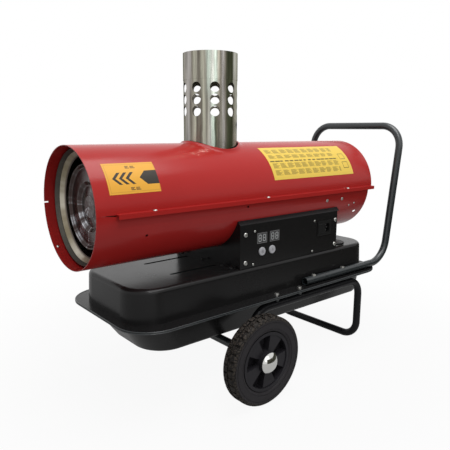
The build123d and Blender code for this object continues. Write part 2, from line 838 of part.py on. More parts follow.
with BuildPart() as motor_shaft:
    with BuildSketch(section_at(motor_end - shaft_seat_depth + seat_gap)):
        Circle(shaft_radius)
    extrude(amount=fan_end + shaft_radius - motor_end + shaft_seat_depth)
motor_shaft.part.label = "motor_shaft"
export_step(motor_shaft.part, "parts/motor_shaft.step")

# Rear guard: wire rings on radial rods
guard_radius = drum_bore - guard_wire_radius - seat_gap
guard_setback = drum_length - guard_inset
with BuildPart() as rear_guard:
    for share in guard_ring_shares + [1]:
        with BuildSketch(barrel):
            with Locations((guard_setback, guard_radius * share)):
                RegularPolygon(guard_wire_radius, 6)
        revolve(axis=barrel_axis)
    for index in range(guard_rod_count):
        rod = radial_plane(guard_setback + guard_wire_radius, 360 * index / guard_rod_count)
        with BuildSketch(rod.offset(guard_radius * guard_ring_shares[0])):
            RegularPolygon(guard_wire_radius, 6)
        extrude(amount=guard_radius * (1 - guard_ring_shares[0]))
rear_guard.part.label = "rear_guard"
export_step(rear_guard.part, "parts/rear_guard.step")

# Control base: end panels cut to the barrel, side panels bent over at the top
base_height = crease_z - tank_top_z
side_clear = base_half_width - base_sheet - seat_gap
roof_edge = sqrt((drum_radius + seat_gap)**2 - (drum_axis_z - roof_z)**2)


def end_panel(setback, face):
    """End panel of the base: face is -1 for the front one. Both feet point forward."""
    foot_x = drum_front + setback - foot_flange_depth / 2
    inner = setback - face * base_sheet
    with BuildPart() as panel:
        with BuildSketch(Plane.YZ.offset(drum_front + min(setback, inner))):
            with BuildLine():
                Polyline((-side_clear, tank_top_z), (-side_clear, crease_z - base_sheet),
                         (-roof_edge, roof_z - base_sheet), (roof_edge, roof_z - base_sheet),
                         (side_clear, crease_z - base_sheet), (side_clear, tank_top_z), close=True)
            make_face()
            with Locations((0, drum_axis_z)):
                Circle(drum_radius + seat_gap, mode=Mode.SUBTRACT)
        extrude(amount=base_sheet)
        with BuildSketch(Plane.XY.offset(tank_top_z)):
            with Locations((foot_x, 0)):
                Rectangle(foot_flange_depth, 2 * foot_flange_half_width)
        extrude(amount=base_sheet)
        with BuildSketch(Plane.XY.offset(tank_top_z + base_sheet)):
            for side in (-1, 1):
                with Locations((drum_front + setback - face * side_flange_depth / 2,
                                side * (side_clear - base_sheet / 2))):
                    Rectangle(side_flange_depth, base_sheet)
        extrude(amount=base_height - 2 * base_sheet)
        for setback_hole in panel_screw_setbacks:
            for height in panel_screw_heights:
                with BuildSketch(Plane.XZ.offset(-drum_length)):
                    with Locations((drum_front + setback_hole, height)):
                        Circle(panel_screw_radius + screw_hole_gap)
                extrude(amount=2 * drum_length, mode=Mode.SUBTRACT)
        for place in foot_screw_places:
            with BuildSketch(Plane.XY.offset(tank_top_z)):
                with Locations((foot_x, place)):
                    Circle(seam_screw_radius + screw_hole_gap)
            extrude(amount=base_sheet, mode=Mode.SUBTRACT)
    return panel


base_front_panel = end_panel(base_setback, -1)
base_front_panel.part.label = "base_front_panel"
export_step(base_front_panel.part, "parts/base_front_panel.step")
base_rear_panel = end_panel(base_end_setback, 1)
base_rear_panel.part.label = "base_rear_panel"
export_step(base_rear_panel.part, "parts/base_rear_panel.step")


def side_panel(side):
    """Side panel of the base with its bent-over roof strip: side is -1 for the near one."""
    with BuildPart() as panel:
        with BuildSketch(Plane.YZ.offset(drum_front + base_setback)):
            with BuildLine():
                Polyline((side * base_half_width, tank_top_z), (side * base_half_width, crease_z),
                         (side * roof_edge, roof_z), (side * roof_edge, roof_z - base_sheet),
                         (side * (base_half_width - base_sheet), crease_z - base_sheet / 2),
                         (side * (base_half_width - base_sheet), tank_top_z), close=True)
            make_face()
        extrude(amount=base_length)
        with BuildSketch(Plane.YZ.offset(drum_front + base_end_setback)):
            Polygon((side * base_half_width, crease_z), (side * roof_edge, roof_z),
                    (side * roof_edge, roof_z - base_sheet),
                    (side * (base_half_width - base_sheet), crease_z - base_sheet / 2), align=None)
        extrude(amount=roof_overhang)
        for setback in panel_screw_setbacks:
            for height in panel_screw_heights:
                with BuildSketch(near_face(setback, height, overrun)):
                    Circle(panel_screw_radius + screw_hole_gap)
                extrude(amount=-2 * drum_length, mode=Mode.SUBTRACT)
        with BuildSketch(section_at(0)):
            Circle(drum_radius + seat_gap)
        extrude(amount=drum_length, mode=Mode.SUBTRACT)
    return panel


near_blank = side_panel(-1)
with BuildPart() as near_side_panel:
    add(near_blank.part)
    for setback in display_setbacks:
        with BuildSketch(near_face(setback, display_z, overrun)):
            Rectangle(display_width + 2 * running_gap, display_height + 2 * running_gap)
        extrude(amount=-overrun - 2 * base_sheet, mode=Mode.SUBTRACT)
    for setback in button_setbacks:
        with BuildSketch(near_face(setback, button_z, overrun)):
            Circle(button_radius + seat_gap)
        extrude(amount=-overrun - 2 * base_sheet, mode=Mode.SUBTRACT)
    with BuildSketch(near_face(inlet_setback, inlet_z, overrun)):
        Rectangle(inlet_width - 2 * inlet_wall, inlet_height - 2 * inlet_wall)
    extrude(amount=-overrun - 2 * base_sheet, mode=Mode.SUBTRACT)
    for setback, height in small_screw_places:
        with BuildSketch(near_face(setback, height, overrun)):
            Circle(small_screw_radius + screw_hole_gap)
        extrude(amount=-overrun - 2 * base_sheet, mode=Mode.SUBTRACT)
near_side_panel.part.label = "near_side_panel"
export_step(near_side_panel.part, "parts/near_side_panel.step")

far_side_panel = side_panel(1)
far_side_panel.part.label = "far_side_panel"
export_step(far_side_panel.part, "parts/far_side_panel.step")

panel_places = [Plane(origin=(drum_front + setback, side * base_half_width, height), z_dir=(0, side, 0))
                for setback in panel_screw_setbacks for height in panel_screw_heights for side in (-1, 1)]
small_places = [near_face(setback, height) for setback, height in small_screw_places]
foot_places = [Plane(origin=(x, y, tank_top_z + base_sheet), z_dir=(0, 0, 1)) for x, y in foot_screw_spots]
with BuildPart() as base_screws:
    add(pan_screws(panel_places, panel_screw_radius, 4 * base_sheet).part)
    add(pan_screws(small_places, small_screw_radius, 2 * base_sheet).part)
    add(pan_screws(foot_places, seam_screw_radius, base_sheet + tank_sheet).part)
base_screws.part.label = "base_screws"
export_step(base_screws.part, "parts/base_screws.step")

# Two displays in their windows
for name, setback in zip(("left_display", "right_display"), display_setbacks):
    with BuildPart() as display:
        with BuildSketch(near_face(setback, display_z, display_proud)):
            Rectangle(display_width, display_height)
        extrude(amount=-display_depth)
        chamfer(display.faces().sort_by(Axis.Y)[0].edges(), display_proud / 2)
    display.part.label = name
    export_step(display.part, f"parts/{name}.step")

# Two push buttons: a domed cap that slides in its hole, with a rim behind the panel
button_back = base_sheet + seat_gap
for name, setback in zip(("left_button", "right_button"), button_setbacks):
    with BuildPart() as button:
        with BuildSketch(near_face(setback, button_z, button_proud)):
            Circle(button_radius)
        extrude(amount=-button_proud - button_length)
        fillet(button.faces().sort_by(Axis.Y)[0].edges(), button_proud / 2)
        with BuildSketch(near_face(setback, button_z, -button_back)):
            Circle(button_radius + button_rim)
        extrude(amount=-button_rim)
    button.part.label = name
    export_step(button.part, f"parts/{name}.step")

# Mains inlet with its recess, three pins and a fuse drawer beside them
recess_x = inlet_width / 2 - inlet_wall - recess_width / 2 - recess_bevel
drawer_x = -inlet_width / 2 + inlet_wall + drawer_width / 2
with BuildPart() as mains_inlet:
    with BuildSketch(near_face(inlet_setback, inlet_z)):
        RectangleRounded(inlet_width, inlet_height, inlet_plate)
    extrude(amount=inlet_plate)
    with BuildSketch(near_face(inlet_setback, inlet_z)):
        Rectangle(inlet_width - 2 * inlet_wall - 2 * seat_gap, inlet_height - 2 * inlet_wall - 2 * seat_gap)
    extrude(amount=-inlet_depth)
    with BuildSketch(near_face(inlet_setback + recess_x, inlet_z, inlet_plate)) as recess:
        Rectangle(recess_width, recess_height)
        chamfer(recess.vertices().group_by(Axis.Z)[0], recess_bevel)
    extrude(amount=-recess_depth, mode=Mode.SUBTRACT)
    with BuildSketch(near_face(inlet_setback + drawer_x, inlet_z, inlet_plate)):
        Rectangle(drawer_width, drawer_height)
    extrude(amount=-drawer_depth, mode=Mode.SUBTRACT)
mains_inlet.part.label = "mains_inlet"
export_step(mains_inlet.part, "parts/mains_inlet.step")

recess_floor = inlet_plate - recess_depth
with BuildPart() as inlet_pins:
    with BuildSketch(near_face(inlet_setback + recess_x, inlet_z, recess_floor)):
        with Locations((0, -pin_pitch), (0, pin_pitch), (pin_pitch / 2, 0)):
            Rectangle(pin_thickness, pin_width)
    extrude(amount=pin_length)
inlet_pins.part.label = "inlet_pins"
export_step(inlet_pins.part, "parts/inlet_pins.step")

with BuildPart() as fuse_drawer:
    with BuildSketch(near_face(inlet_setback + drawer_x, inlet_z, inlet_plate + drawer_proud)):
        Rectangle(drawer_width - 2 * drawer_gap, drawer_height - 2 * drawer_gap)
    extrude(amount=-drawer_depth - drawer_proud + drawer_gap)
    chamfer(fuse_drawer.faces().sort_by(Axis.Y)[0].edges(), drawer_proud / 2)
fuse_drawer.part.label = "fuse_drawer"
export_step(fuse_drawer.part, "parts/fuse_drawer.step")

# Control board on four standoffs, with its relays
board_setback = sum(display_setbacks) / len(display_setbacks)
board_out = display_proud - display_depth - seat_gap
with BuildPart() as control_board:
    with BuildSketch(near_face(board_setback, board_z, board_out)):
        Rectangle(board_length, board_height)
    extrude(amount=-board_sheet)
    with BuildSketch(near_face(board_setback, board_z, board_out)):
        with GridLocations(board_length - 2 * relay_depth, board_height - 2 * standoff_radius, 2, 2):
            Circle(standoff_radius)
    extrude(amount=-board_out - base_sheet - seat_gap)
    with BuildSketch(near_face(board_setback, board_z, board_out - board_sheet)):
        with GridLocations(2 * relay_width, 0, 2, 1):
            Rectangle(relay_width, relay_height)
    extrude(amount=-relay_depth)
control_board.part.label = "control_board"
export_step(control_board.part, "parts/control_board.step")

# Ignition transformer on the far side panel
with BuildPart() as ignition_transformer:
    with BuildSketch(Plane.XZ.offset(seat_gap + base_sheet - base_half_width)):
        with Locations((drum_front + transformer_setback, transformer_z)):
            RectangleRounded(transformer_length, transformer_height, inlet_wall)
    extrude(amount=transformer_depth)
    fillet(ignition_transformer.faces().sort_by(Axis.Y)[0].edges(), inlet_wall)
    with BuildSketch(Plane.XY.offset(transformer_z)):
        with Locations((drum_front + transformer_setback, base_half_width - transformer_depth / 2)):
            with GridLocations(transformer_length / 2, 0, 2, 1):
                Circle(electrode_radius)
    extrude(amount=transformer_height / 2 + electrode_wire_length / 2)
ignition_transformer.part.label = "ignition_transformer"
export_step(ignition_transformer.part, "parts/ignition_transformer.step")

# Fuel tank: two pressed shells whose flanges meet at the rim
tank_length = tank_rear_setback - tank_front_setback
tank_x = drum_front + (tank_front_setback + tank_rear_setback) / 2
tank_height = tank_top_z - tank_flange_z
flange_length = tank_length + 2 * tank_flange_overhang
flange_seam_z = tank_flange_z - tank_flange_sheet
lower_flange_z = flange_seam_z - tank_flange_sheet
filler_x = drum_front + filler_setback
pipe_x = drum_front + pump_setback + pump_length / 2


def tank_outline(shrink):
    """Rounded outline of the tank walls at the flange, drawn in by shrink on every side."""
    with BuildSketch() as outline:
        with Locations((tank_x, 0)):
            RectangleRounded(tank_length - 2 * shrink, 2 * (tank_half_width - shrink),
                             tank_corner_radius - shrink)
    return add(outline.sketch)


with BuildPart() as tank_inside:
    with BuildSketch(Plane.XY.offset(tank_flange_z)):
        tank_outline(tank_sheet)
    extrude(amount=tank_height - groove_depth - tank_sheet, taper=tank_draft)
    fillet(tank_inside.faces().sort_by(Axis.Z)[-1].edges(), tank_top_round)
    with BuildSketch(Plane.XY.offset(tank_flange_z)):
        tank_outline(tank_sheet)
    extrude(amount=-overrun)

with BuildPart() as tank_upper:
    with BuildSketch(Plane.XY.offset(tank_flange_z)):
        with Locations((tank_x, 0)):
            RectangleRounded(tank_length, 2 * tank_half_width, tank_corner_radius)
    extrude(amount=tank_height, taper=tank_draft)
    fillet(tank_upper.faces().sort_by(Axis.Z)[-1].edges(), tank_top_round)
    with BuildSketch(Plane.XY.offset(tank_top_z)):
        for side in (-1, 1):
            with Locations((drum_front + (groove_front_setback + tank_rear_setback - tank_corner_radius) / 2,
                            side * groove_offset)):
                SlotOverall(tank_rear_setback - tank_corner_radius - groove_front_setback, groove_width)
    extrude(amount=-groove_depth, mode=Mode.SUBTRACT)
    with BuildSketch(Plane.XY.offset(tank_flange_z - tank_rim_drop)):
        with Locations((tank_x, 0)):
            RectangleRounded(flange_length, 2 * tank_flange_half_width, tank_flange_corner)
            RectangleRounded(flange_length - 2 * tank_flange_sheet,
                             2 * (tank_flange_half_width - tank_flange_sheet),
                             tank_flange_corner - tank_flange_sheet, mode=Mode.SUBTRACT)
    extrude(amount=tank_rim_drop)
    with BuildSketch(Plane.XY.offset(flange_seam_z)):
        with Locations((tank_x, 0)):
            RectangleRounded(flange_length, 2 * tank_flange_half_width, tank_flange_corner)
    extrude(amount=tank_flange_sheet)
    add(tank_inside.part, mode=Mode.SUBTRACT)
    with BuildSketch(Plane.XY.offset(tank_top_z)):
        with Locations((filler_x, filler_offset)):
            Circle(filler_radius + running_gap)
        with Locations((pipe_x, 0)):
            Circle(pipe_radius + seat_gap)
        with Locations(*foot_screw_spots):
            Circle(seam_screw_radius + screw_hole_gap)
    extrude(amount=-2 * tank_sheet - groove_depth, mode=Mode.SUBTRACT)
    with BuildSketch(Plane.XY.offset(tank_flange_z)):
        with Locations(*handle_bolt_spots, *leg_bolt_spots):
            Circle(bolt_radius + screw_hole_gap)
    extrude(amount=-tank_rim_drop, mode=Mode.SUBTRACT)
tank_upper.part.label = "tank_upper"
export_step(tank_upper.part, "parts/tank_upper.step")

# Lower shell: a tub with sloped front and sides under its own flange
rim_inner_half = tank_flange_half_width - tank_flange_sheet - seat_gap
rim_inner_length = flange_length - 2 * tank_flange_sheet - 2 * seat_gap


def tub_level(height, front, rear, half_width, front_round, rear_round):
    """Outline of the tub at one height, between two setbacks, with its front and rear corner radii."""
    with BuildSketch(Plane.XY.offset(height)) as level:
        with Locations((drum_front + (front + rear) / 2, 0)):
            Rectangle(rear - front, 2 * half_width)
        fillet(level.vertices().group_by(Axis.X)[0], front_round)
        fillet(level.vertices().group_by(Axis.X)[-1], rear_round)
    return level.sketch


def tub_body(top_z, wall):
    """Solid tub from the flange down, drawn in by the wall on every side and at the bottom."""
    with BuildPart() as body:
        add(tub_level(top_z, tank_front_setback + wall, tank_rear_setback - wall, tank_half_width - wall,
                      tank_corner_radius - wall, tank_corner_radius - wall))
        add(tub_level(tub_bottom_z + wall, tub_front_setback + wall, tub_rear_setback - wall,
                      tub_half_width - wall, tub_front_round - wall, tub_rear_round - wall))
        loft()
        fillet(body.faces().sort_by(Axis.Z)[0].edges(), tub_foot_round - wall)
    return body


tank_lower = tub_body(lower_flange_z, 0)
with BuildPart() as tub_flange:
    with BuildSketch(Plane.XY.offset(lower_flange_z)):
        with Locations((tank_x, 0)):
            RectangleRounded(rim_inner_length, 2 * rim_inner_half,
                             tank_flange_corner - tank_flange_sheet - seat_gap)
    extrude(amount=tank_flange_sheet)
tub_inside = tub_body(flange_seam_z, tank_sheet)
with BuildPart() as tank_lower_shell:
    add(tank_lower.part)
    add(tub_flange.part)
    add(tub_inside.part, mode=Mode.SUBTRACT)
    with BuildSketch(Plane.XY.offset(flange_seam_z)):
        with Locations(*handle_bolt_spots, *leg_bolt_spots):
            Circle(bolt_radius + screw_hole_gap)
    extrude(amount=-tank_rim_drop, mode=Mode.SUBTRACT)
    with BuildSketch(Plane.XY.offset(tub_bottom_z)):
        with Locations((drum_front + drain_setback, 0)):
            Circle(drain_radius + running_gap)
    extrude(amount=tub_foot_round, mode=Mode.SUBTRACT)
tank_lower_shell.part.label = "tank_lower"
export_step(tank_lower_shell.part, "parts/tank_lower.step")

# Filler neck, strainer and fuel cap
filler_plane = Plane(origin=(filler_x, filler_offset, tank_top_z), x_dir=(1, 0, 0), z_dir=(0, -1, 0))
filler_axis = Axis((filler_x, filler_offset, tank_top_z), (0, 0, 1))
filler_bore = filler_radius - filler_sheet


def turned_filler(points):
    """Solid of revolution about the filler axis, from (radius, height) points of a closed outline."""
    with BuildPart() as turned:
        with BuildSketch(filler_plane):
            with BuildLine():
                Polyline(*points, close=True)
            make_face()
        revolve(axis=filler_axis)
    return turned


filler_neck = turned_filler([(filler_bore, -filler_depth), (filler_radius, -filler_depth), (filler_radius, 0),
                             (filler_radius + filler_sheet, 0), (filler_radius + filler_sheet, filler_sheet),
                             (filler_radius, filler_sheet), (filler_radius, filler_height),
                             (filler_bore, filler_height)])
filler_neck.part.label = "filler_neck"
export_step(filler_neck.part, "parts/filler_neck.step")

strainer_radius = filler_bore - seat_gap
strainer = turned_filler([(0, -strainer_length), (strainer_radius, -strainer_length),
                          (strainer_radius, filler_height), (filler_radius, filler_height),
                          (filler_radius, filler_height + filler_sheet / 2),
                          (strainer_radius - filler_sheet / 2, filler_height + filler_sheet / 2),
                          (strainer_radius - filler_sheet / 2, filler_sheet / 2 - strainer_length),
                          (0, filler_sheet / 2 - strainer_length)])
strainer.part.label = "fuel_strainer"
export_step(strainer.part, "parts/fuel_strainer.step")

cap_inner_top = cap_height - cap_wall
cap_bottom = filler_sheet + seat_gap
with BuildPart() as fuel_cap:
    add(turned_filler([(0, cap_inner_top), (cap_outer_radius - cap_wall, cap_inner_top),
                       (cap_outer_radius - cap_wall, cap_bottom), (cap_outer_radius, cap_bottom),
                       (cap_outer_radius, cap_height - cap_wall / 2),
                       (cap_outer_radius - cap_wall / 2, cap_height), (0, cap_height)]).part)
    with BuildSketch(Plane.XY.offset(tank_top_z + cap_bottom)):
        with Locations((filler_x, filler_offset)):
            with PolarLocations(cap_outer_radius + cap_grip_radius / 2, cap_grip_count):
                Circle(cap_grip_radius)
    extrude(amount=cap_height, mode=Mode.SUBTRACT)
fuel_cap.part.label = "fuel_cap"
export_step(fuel_cap.part, "parts/fuel_cap.step")

with BuildPart() as drain_plug:
    with BuildSketch(Plane.XY.offset(tub_bottom_z)):
        with Locations((drum_front + drain_setback, 0)):
            RegularPolygon(drain_radius * 3 / 2, 6)
    extrude(amount=-drain_head)
    with BuildSketch(Plane.XY.offset(tub_bottom_z)):
        with Locations((drum_front + drain_setback, 0)):
            Circle(drain_radius)
    extrude(amount=tub_foot_round / 2)
drain_plug.part.label = "drain_plug"
export_step(drain_plug.part, "parts/drain_plug.step")

# Suction pipe from the bottom of the tank up to the pump
with BuildPart() as fuel_pipes:
    with BuildSketch(Plane.XY.offset(tub_bottom_z + tub_foot_round)):
        with Locations((pipe_x, 0)):
            Circle(pipe_radius)
    extrude(amount=drum_axis_z - pump_radius - running_gap - tub_bottom_z - tub_foot_round)
    add(nozzle_line.part)
fuel_pipes.part.label = "fuel_pipes"
export_step(fuel_pipes.part, "parts/fuel_pipes.step")


def bent_tube(route):
    """Round tube swept along a route of straight runs and arcs."""
    with BuildPart() as tube:
        with BuildSketch(Plane(origin=route @ 0, z_dir=route % 0)):
            Circle(tube_radius)
            Circle(tube_radius - tube_wall, mode=Mode.SUBTRACT)
        sweep(path=route)
    return tube


# Handle: one tube along both sides of the tank flange, up behind the barrel and across
handle_z = tank_flange_z + tube_radius
with BuildLine() as handle_route:
    FilletPolyline((drum_front + handle_start_setback, -handle_half_width, handle_z),
                   (drum_front + handle_corner_setback, -handle_half_width, handle_z),
                   (drum_front + handle_bar_setback, -handle_top_half_width, handle_top_z),
                   (drum_front + handle_bar_setback, handle_top_half_width, handle_top_z),
                   (drum_front + handle_corner_setback, handle_half_width, handle_z),
                   (drum_front + handle_start_setback, handle_half_width, handle_z),
                   radius=[handle_low_bend, handle_top_bend, handle_top_bend, handle_low_bend])
with BuildPart() as handle:
    add(bent_tube(handle_route.wire()).part)
    with BuildSketch(Plane.XY.offset(handle_z - overrun)):
        with Locations(*handle_bolt_spots):
            Circle(bolt_radius + screw_hole_gap)
    extrude(amount=2 * overrun, mode=Mode.SUBTRACT)
handle.part.label = "handle"
export_step(handle.part, "parts/handle.step")

# Leg frame: one tube from the axle up under the flange, back, down to the floor and across
leg_rear_x = drum_front + leg_rear_setback
leg_knee_x = drum_front + leg_knee_setback
with BuildLine() as leg_route:
    FilletPolyline((axle_x, -leg_half_width, wheel_radius), (leg_knee_x, -leg_half_width, leg_run_z),
                   (leg_rear_x, -leg_half_width, leg_run_z), (leg_rear_x, -leg_half_width, tube_radius),
                   (leg_rear_x, leg_half_width, tube_radius), (leg_rear_x, leg_half_width, leg_run_z),
                   (leg_knee_x, leg_half_width, leg_run_z), (axle_x, leg_half_width, wheel_radius),
                   radius=[leg_knee_bend, leg_corner_bend, leg_corner_bend, leg_corner_bend,
                           leg_corner_bend, leg_knee_bend])
with BuildPart() as leg_frame:
    add(bent_tube(leg_route.wire()).part)
    with BuildSketch(Plane.XZ.offset(-drum_length)):
        with Locations((axle_x, wheel_radius)):
            Circle(axle_tube_radius + seat_gap)
    extrude(amount=2 * drum_length, mode=Mode.SUBTRACT)
    with BuildSketch(Plane.XY.offset(leg_run_z)):
        with Locations(*leg_bolt_spots):
            Circle(bolt_radius + screw_hole_gap)
    extrude(amount=overrun, mode=Mode.SUBTRACT)
leg_frame.part.label = "leg_frame"
export_step(leg_frame.part, "parts/leg_frame.step")

# Axle tube between the legs, and the axle through it
axle_plane = Plane(origin=(axle_x, 0, wheel_radius), x_dir=(1, 0, 0), z_dir=(0, -1, 0))
axle_axis = Axis((axle_x, 0, wheel_radius), (0, -1, 0))
axle_tube_half = leg_half_width + tube_radius
wheel_inner_face = wheel_outer_face - wheel_width
cap_seat = wheel_outer_face + hub_proud
with BuildPart() as axle_tube:
    with BuildSketch(axle_plane):
        Circle(axle_tube_radius)
        Circle(axle_radius + running_gap, mode=Mode.SUBTRACT)
    extrude(amount=axle_tube_half, both=True)
axle_tube.part.label = "axle_tube"
export_step(axle_tube.part, "parts/axle_tube.step")

with BuildPart() as axle:
    with BuildSketch(axle_plane):
        Circle(axle_radius)
    extrude(amount=cap_seat - seat_gap, both=True)
axle.part.label = "axle"
export_step(axle.part, "parts/axle.step")

# Bolts that hold the handle down on the flange and the leg frame under it
handle_bolt_places = [Plane(origin=(x, y, handle_z + tube_radius), z_dir=(0, 0, 1))
                      for x, y in handle_bolt_spots]
leg_bolt_places = [Plane(origin=(x, y, tank_flange_z), z_dir=(0, 0, 1)) for x, y in leg_bolt_spots]
with BuildPart() as frame_bolts:
    add(hex_bolts(handle_bolt_places, 2 * tube_radius + 2 * tank_flange_sheet + bolt_tail).part)
    add(hex_bolts(leg_bolt_places, tank_flange_z - leg_run_z).part)
frame_bolts.part.label = "frame_bolts"
export_step(frame_bolts.part, "parts/frame_bolts.step")

# Sleeves between the leg tube and the flange above it
with BuildPart() as leg_spacers:
    with BuildSketch(Plane.XY.offset(leg_run_z)):
        with Locations(*leg_bolt_spots):
            Circle(bolt_head_radius)
            Circle(bolt_radius + screw_hole_gap, mode=Mode.SUBTRACT)
    extrude(amount=lower_flange_z - leg_run_z)
    for side in (-1, 1):
        with BuildSketch(Plane.YZ.offset(drum_front)):
            with Locations((side * leg_half_width, leg_run_z)):
                Circle(tube_radius + running_gap)
        extrude(amount=handle_reach, mode=Mode.SUBTRACT)
leg_spacers.part.label = "leg_spacers"
export_step(leg_spacers.part, "parts/leg_spacers.step")

# Collars on the axle between the legs and the wheels
with BuildPart() as axle_collars:
    for side in (-1, 1):
        with BuildSketch(Plane(origin=(axle_x, side * (axle_tube_half + running_gap), wheel_radius),
                               x_dir=(1, 0, 0), z_dir=(0, side, 0))):
            Circle(2 * axle_radius)
            Circle(axle_radius + running_gap, mode=Mode.SUBTRACT)
        extrude(amount=wheel_inner_face + rim_inset - axle_tube_half - running_gap - seat_gap)
axle_collars.part.label = "axle_collars"
export_step(axle_collars.part, "parts/axle_collars.step")

# Wheels: blocked tyre, five-spoke rim with pockets, domed hub cap
web_face = wheel_outer_face - web_inset
rim_bore = tyre_bore_radius - rim_ring
wheel_middle = wheel_outer_face - wheel_width / 2
window_half_width = wheel_radius * sin(radians(180 * window_share / spoke_count))


def wheel_plane(side, out):
    """Plane across the axle that faces outwards, a distance out from the middle of the heater."""
    return Plane(origin=(axle_x, side * out, wheel_radius), x_dir=(1, 0, 0), z_dir=(0, side, 0))


def wheel_section(side):
    """Plane through the axle: local x is the distance out from the middle, local y the radius."""
    return Plane(origin=(axle_x, 0, wheel_radius), x_dir=(0, side, 0), z_dir=(side, 0, 0))


for name, side in (("left", -1), ("right", 1)):
    with BuildPart() as tyre:
        with BuildSketch(wheel_section(side)) as section:
            with Locations((wheel_middle, (wheel_radius + tyre_bore_radius) / 2)):
                Rectangle(wheel_width, wheel_radius - tyre_bore_radius)
            fillet(section.vertices().group_by(Axis.Z)[-1], tyre_shoulder)
            fillet(section.vertices().group_by(Axis.Z)[0], tyre_bead_round)
            with Locations((wheel_middle, wheel_radius)):
                Rectangle(tread_gap, 2 * tread_depth, mode=Mode.SUBTRACT)
            for radius in sidewall_ring_radii:
                with Locations((wheel_outer_face, radius), (wheel_inner_face, radius)):
                    Rectangle(sidewall_ring_size, sidewall_ring_size, mode=Mode.SUBTRACT)
        revolve(axis=axle_axis)
        for edge, turn in ((wheel_inner_face, 0), (wheel_middle, 180 / tread_count)):
            with BuildSketch(wheel_plane(side, edge)):
                with PolarLocations(wheel_radius, tread_count, start_angle=turn):
                    Rectangle(2 * tread_depth, tread_gap)
            extrude(amount=wheel_width / 2, mode=Mode.SUBTRACT)
    tyre.part.label = f"{name}_tyre"
    export_step(tyre.part, f"parts/{name}_tyre.step")

    with BuildPart() as rim:
        with BuildSketch(wheel_plane(side, wheel_inner_face + rim_inset)):
            Circle(tyre_bore_radius - running_gap)
            Circle(rim_bore, mode=Mode.SUBTRACT)
        extrude(amount=wheel_width - 2 * rim_inset)
        with BuildSketch(wheel_plane(side, wheel_inner_face + rim_inset)):
            Circle(hub_radius)
        extrude(amount=cap_seat - wheel_inner_face - rim_inset)
        with BuildSketch(wheel_plane(side, web_face - web_depth)):
            Circle(tyre_bore_radius - rim_ring / 2)
        extrude(amount=web_depth)
        with BuildSketch(wheel_plane(side, web_face)) as windows:
            with PolarLocations(0, spoke_count, start_angle=window_start_angle):
                Polygon((0, 0), (wheel_radius, window_half_width), (wheel_radius, -window_half_width),
                        align=None)
            Circle(rim_bore, mode=Mode.INTERSECT)
            Circle(hub_radius, mode=Mode.SUBTRACT)
            fillet(windows.vertices(), window_round)
        extrude(amount=pocket_floor - web_depth, mode=Mode.SUBTRACT)
        with BuildSketch(wheel_plane(side, 0)):
            Circle(axle_radius + running_gap)
        extrude(amount=cap_seat, mode=Mode.SUBTRACT)
    rim.part.label = f"{name}_rim"
    export_step(rim.part, f"parts/{name}_rim.step")

    with BuildPart() as hub_cap:
        with BuildSketch(wheel_section(side)):
            with BuildLine():
                base_line = Line((cap_seat, 0), (cap_seat, hub_cap_radius))
                lip_line = Line(base_line @ 1, (cap_seat + hub_cap_sheet, hub_cap_radius))
                TangentArc((cap_seat + hub_cap_rise, 0), lip_line @ 1, tangent=(0, 1))
                Line((cap_seat + hub_cap_rise, 0), base_line @ 0)
            make_face()
        revolve(axis=axle_axis)
    hub_cap.part.label = f"{name}_hub_cap"
    export_step(hub_cap.part, f"parts/{name}_hub_cap.step")
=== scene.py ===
# %% [markdown]
# # Dressing an indirect fired heater
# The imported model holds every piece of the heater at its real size: a red barrel with a steel flue,
# a black control base, a pressed fuel tank, two wheels and the bent tubes that carry it.
# This lesson gives each surface its finish, adds the small pieces that only the eye needs, and sets
# up the camera and the light. It works in metres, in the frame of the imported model.

# %% Load the frame
import json
from contextlib import contextmanager
from math import atan2, cos, degrees, pi, radians, sin, tau

import bpy
from mathutils import Matrix, Quaternion, Vector


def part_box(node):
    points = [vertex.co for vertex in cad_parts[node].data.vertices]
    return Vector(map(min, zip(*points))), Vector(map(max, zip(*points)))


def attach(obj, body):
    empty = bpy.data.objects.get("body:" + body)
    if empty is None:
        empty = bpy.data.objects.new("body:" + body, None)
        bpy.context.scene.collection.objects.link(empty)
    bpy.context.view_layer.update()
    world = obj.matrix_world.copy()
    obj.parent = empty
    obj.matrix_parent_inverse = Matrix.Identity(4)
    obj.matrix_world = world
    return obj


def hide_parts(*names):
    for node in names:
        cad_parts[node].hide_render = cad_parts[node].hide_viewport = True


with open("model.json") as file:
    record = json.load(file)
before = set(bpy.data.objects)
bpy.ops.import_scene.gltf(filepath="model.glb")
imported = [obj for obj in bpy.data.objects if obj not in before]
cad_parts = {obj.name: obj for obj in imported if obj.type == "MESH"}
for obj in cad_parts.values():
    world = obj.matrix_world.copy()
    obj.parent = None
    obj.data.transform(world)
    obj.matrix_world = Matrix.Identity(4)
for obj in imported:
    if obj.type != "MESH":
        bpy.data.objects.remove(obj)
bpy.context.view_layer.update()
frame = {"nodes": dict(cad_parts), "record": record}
nodes = frame["nodes"]
bpy.ops.object.select_all(action="DESELECT")

# %% [markdown]
# ## Where things are
# The barrel is a cylinder along X. Its axis is read from the motor shaft, which turns on it, and
# its front edge from the casing. Places along the barrel are given as a setback behind that edge,
# and places around it as an angle above the near seam, as a sheet metal worker would mark them.

# %% Places on the barrel
shaft_low, shaft_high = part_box("motor_shaft")
casing_radius = 0.125
casing_sheet = 0.0015
axis_height = (shaft_low.z + shaft_high.z) / 2
front_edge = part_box("upper_drum_shell")[0].x


def behind_edge(setback, aside, height):
    """Point at a setback behind the barrel's front edge."""
    return Vector((front_edge + setback, aside, height))


def on_barrel(setback, angle):
    """Point of the barrel's skin at an angle above the near seam."""
    angle = radians(angle)
    return behind_edge(setback, -casing_radius * cos(angle), axis_height + casing_radius * sin(angle))


print("barrel axis at", round(axis_height, 4), "front edge at", round(front_edge, 4))

